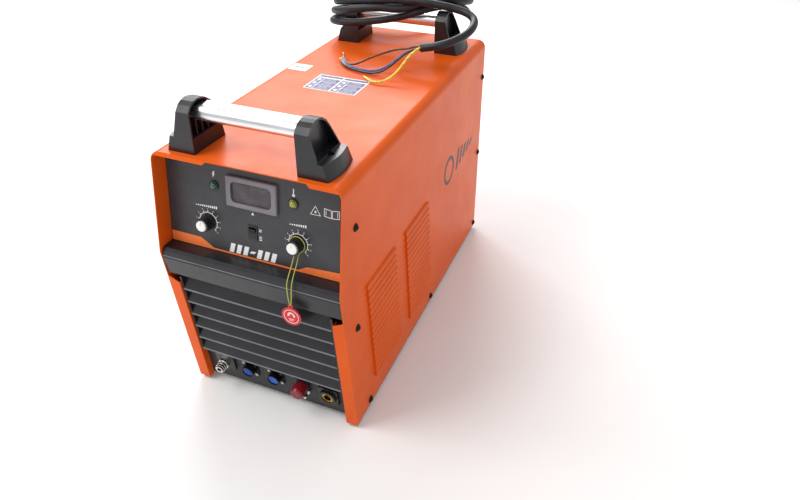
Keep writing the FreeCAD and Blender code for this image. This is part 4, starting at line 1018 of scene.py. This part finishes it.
def bare_copper(name, points):
    """A bundle of seven copper strands beyond the end of a core."""
    end = points[-1]
    along = (points[-1] - points[-3]).normalized()
    across = along.orthogonal().normalized()
    other = along.cross(across)
    vertices, faces = [], []
    sides, rings = STRAND_SIDES, STRAND_STEPS
    for strand in range(STRANDS):
        turn = 2 * math.pi * strand / (STRANDS - 1)
        reach = 0.0 if strand == STRANDS - 1 else STRAND_RING
        start = len(vertices)
        for ring in range(rings):
            share = ring / (rings - 1)
            twist = turn + share * STRAND_TWIST
            middle = end + along * (share * BARE_TIP - TIP_TUCK) * MM
            middle += (across * math.cos(twist) + other * math.sin(twist)) * reach * MM
            for side in range(sides):
                angle = 2 * math.pi * side / sides
                rim = across * math.cos(angle) + other * math.sin(angle)
                vertices.append(middle + rim * STRAND_RADIUS * MM)
        for ring in range(rings - 1):
            for side in range(sides):
                low, high = start + ring * sides, start + (ring + 1) * sides
                following = (side + 1) % sides
                faces.append((low + side, low + following, high + following, high + side))
        faces.append(tuple(range(start + (rings - 1) * sides, start + rings * sides)))
    return add_mesh(name, vertices, faces, COPPER, "chassis")


def mains_lead():
    lead = cord_curve("mains_lead", lead_route(), CABLE, FINISHES["cable_black"], "chassis")
    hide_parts("mains_cable_tail", "mains_cable_coil", "mains_cable_end")
    length = curve_length(curve_points(lead))
    boot = lead_boot()
    for name, route in CORE_ROUTES.items():
        core = cord_curve(f"{name}_wire", route, CORE, FINISHES[name], "chassis")
        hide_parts(name)
        line = curve_points(core)
        tip = bare_copper(f"{name}_tip", line)


# ---------------------------------------------------------------- tag string
STRING_LOOP = 13.0                               # its loop's radius round the knob
STRING_OUT = 3.5                                 # the loop's distance from the face


def string_route():
    """From the tag's eye, over the visor, round the knob and back to the eye."""
    middle = (TAG_FRONT_Y + TAG_BACK_Y) / 2
    points = [(74.0, middle, 265.5), (71.8, middle, 281.0), (69.4, -346.0, 300.0)]
    points += [(69.6, -337.0, 311.0), (69.2, -325.0, 323.0)]
    for degrees in range(255, -76, -30):
        turn = math.radians(degrees)
        x = CURRENT_KNOB[0] + STRING_LOOP * math.cos(turn)
        height = CURRENT_KNOB[1] + STRING_LOOP * math.sin(turn)
        points.append(tuple(on_face(x, height, STRING_OUT) / MM))
    points += [(76.6, -325.0, 323.0), (77.0, -337.0, 311.0), (77.4, -346.0, 300.0)]
    points += [(78.0, middle, 281.0), (76.0, middle, 265.5)]
    return points


def tag_string():
    route = string_route()
    string = cord_curve("tag_thread", route, STRING, FINISHES["string_green"], "hang_tag", 4)
    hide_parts("tag_string")
    length = curve_length(curve_points(string))


# ---------------------------------------------------------------- floor
def make_floor():
    reach = FLOOR_REACH
    corners = [(-reach, -reach, 0.0), (reach, -reach, 0.0), (reach, reach, 0.0), (-reach, reach, 0.0)]
    mesh = bpy.data.meshes.new("floor")
    mesh.from_pydata(corners, [], [(0, 1, 2, 3)])
    mesh.materials.append(floor_finish())
    floor = bpy.data.objects.new("floor", mesh)
    bpy.context.scene.collection.objects.link(floor)


# ---------------------------------------------------------------- put it together
make_camera()
make_light()
make_floor()
mains_lead()
tag_string()
dress_nodes()
mounts = [f"handle_mount_{end}_{side}" for end in ("front", "rear") for side in ("left", "right")]
soften_edges(mounts + ["front_visor"], 1.2)
soften_edges(("louvre_grille", "meter_bezel"), 0.5)
face_stripe()
face_graphics()
dial_numbers("current_figure", *CURRENT_KNOB, FIGURE_RADIUS, *DIAL_SWEEP, 3.4)
dial_numbers("timer_figure", *TIMER_KNOB, FIGURE_RADIUS, *DIAL_SWEEP, 3.0)
meter_digits()
top_label()
top_sticker()
side_badge("right_badge", on_right_side, 130.0)
side_badge("left_badge", on_left_side, -250.0)
rating_plate()
rear_marks()
tag_prints()
side_terminal()
lamp_bezels()
lip_edges()
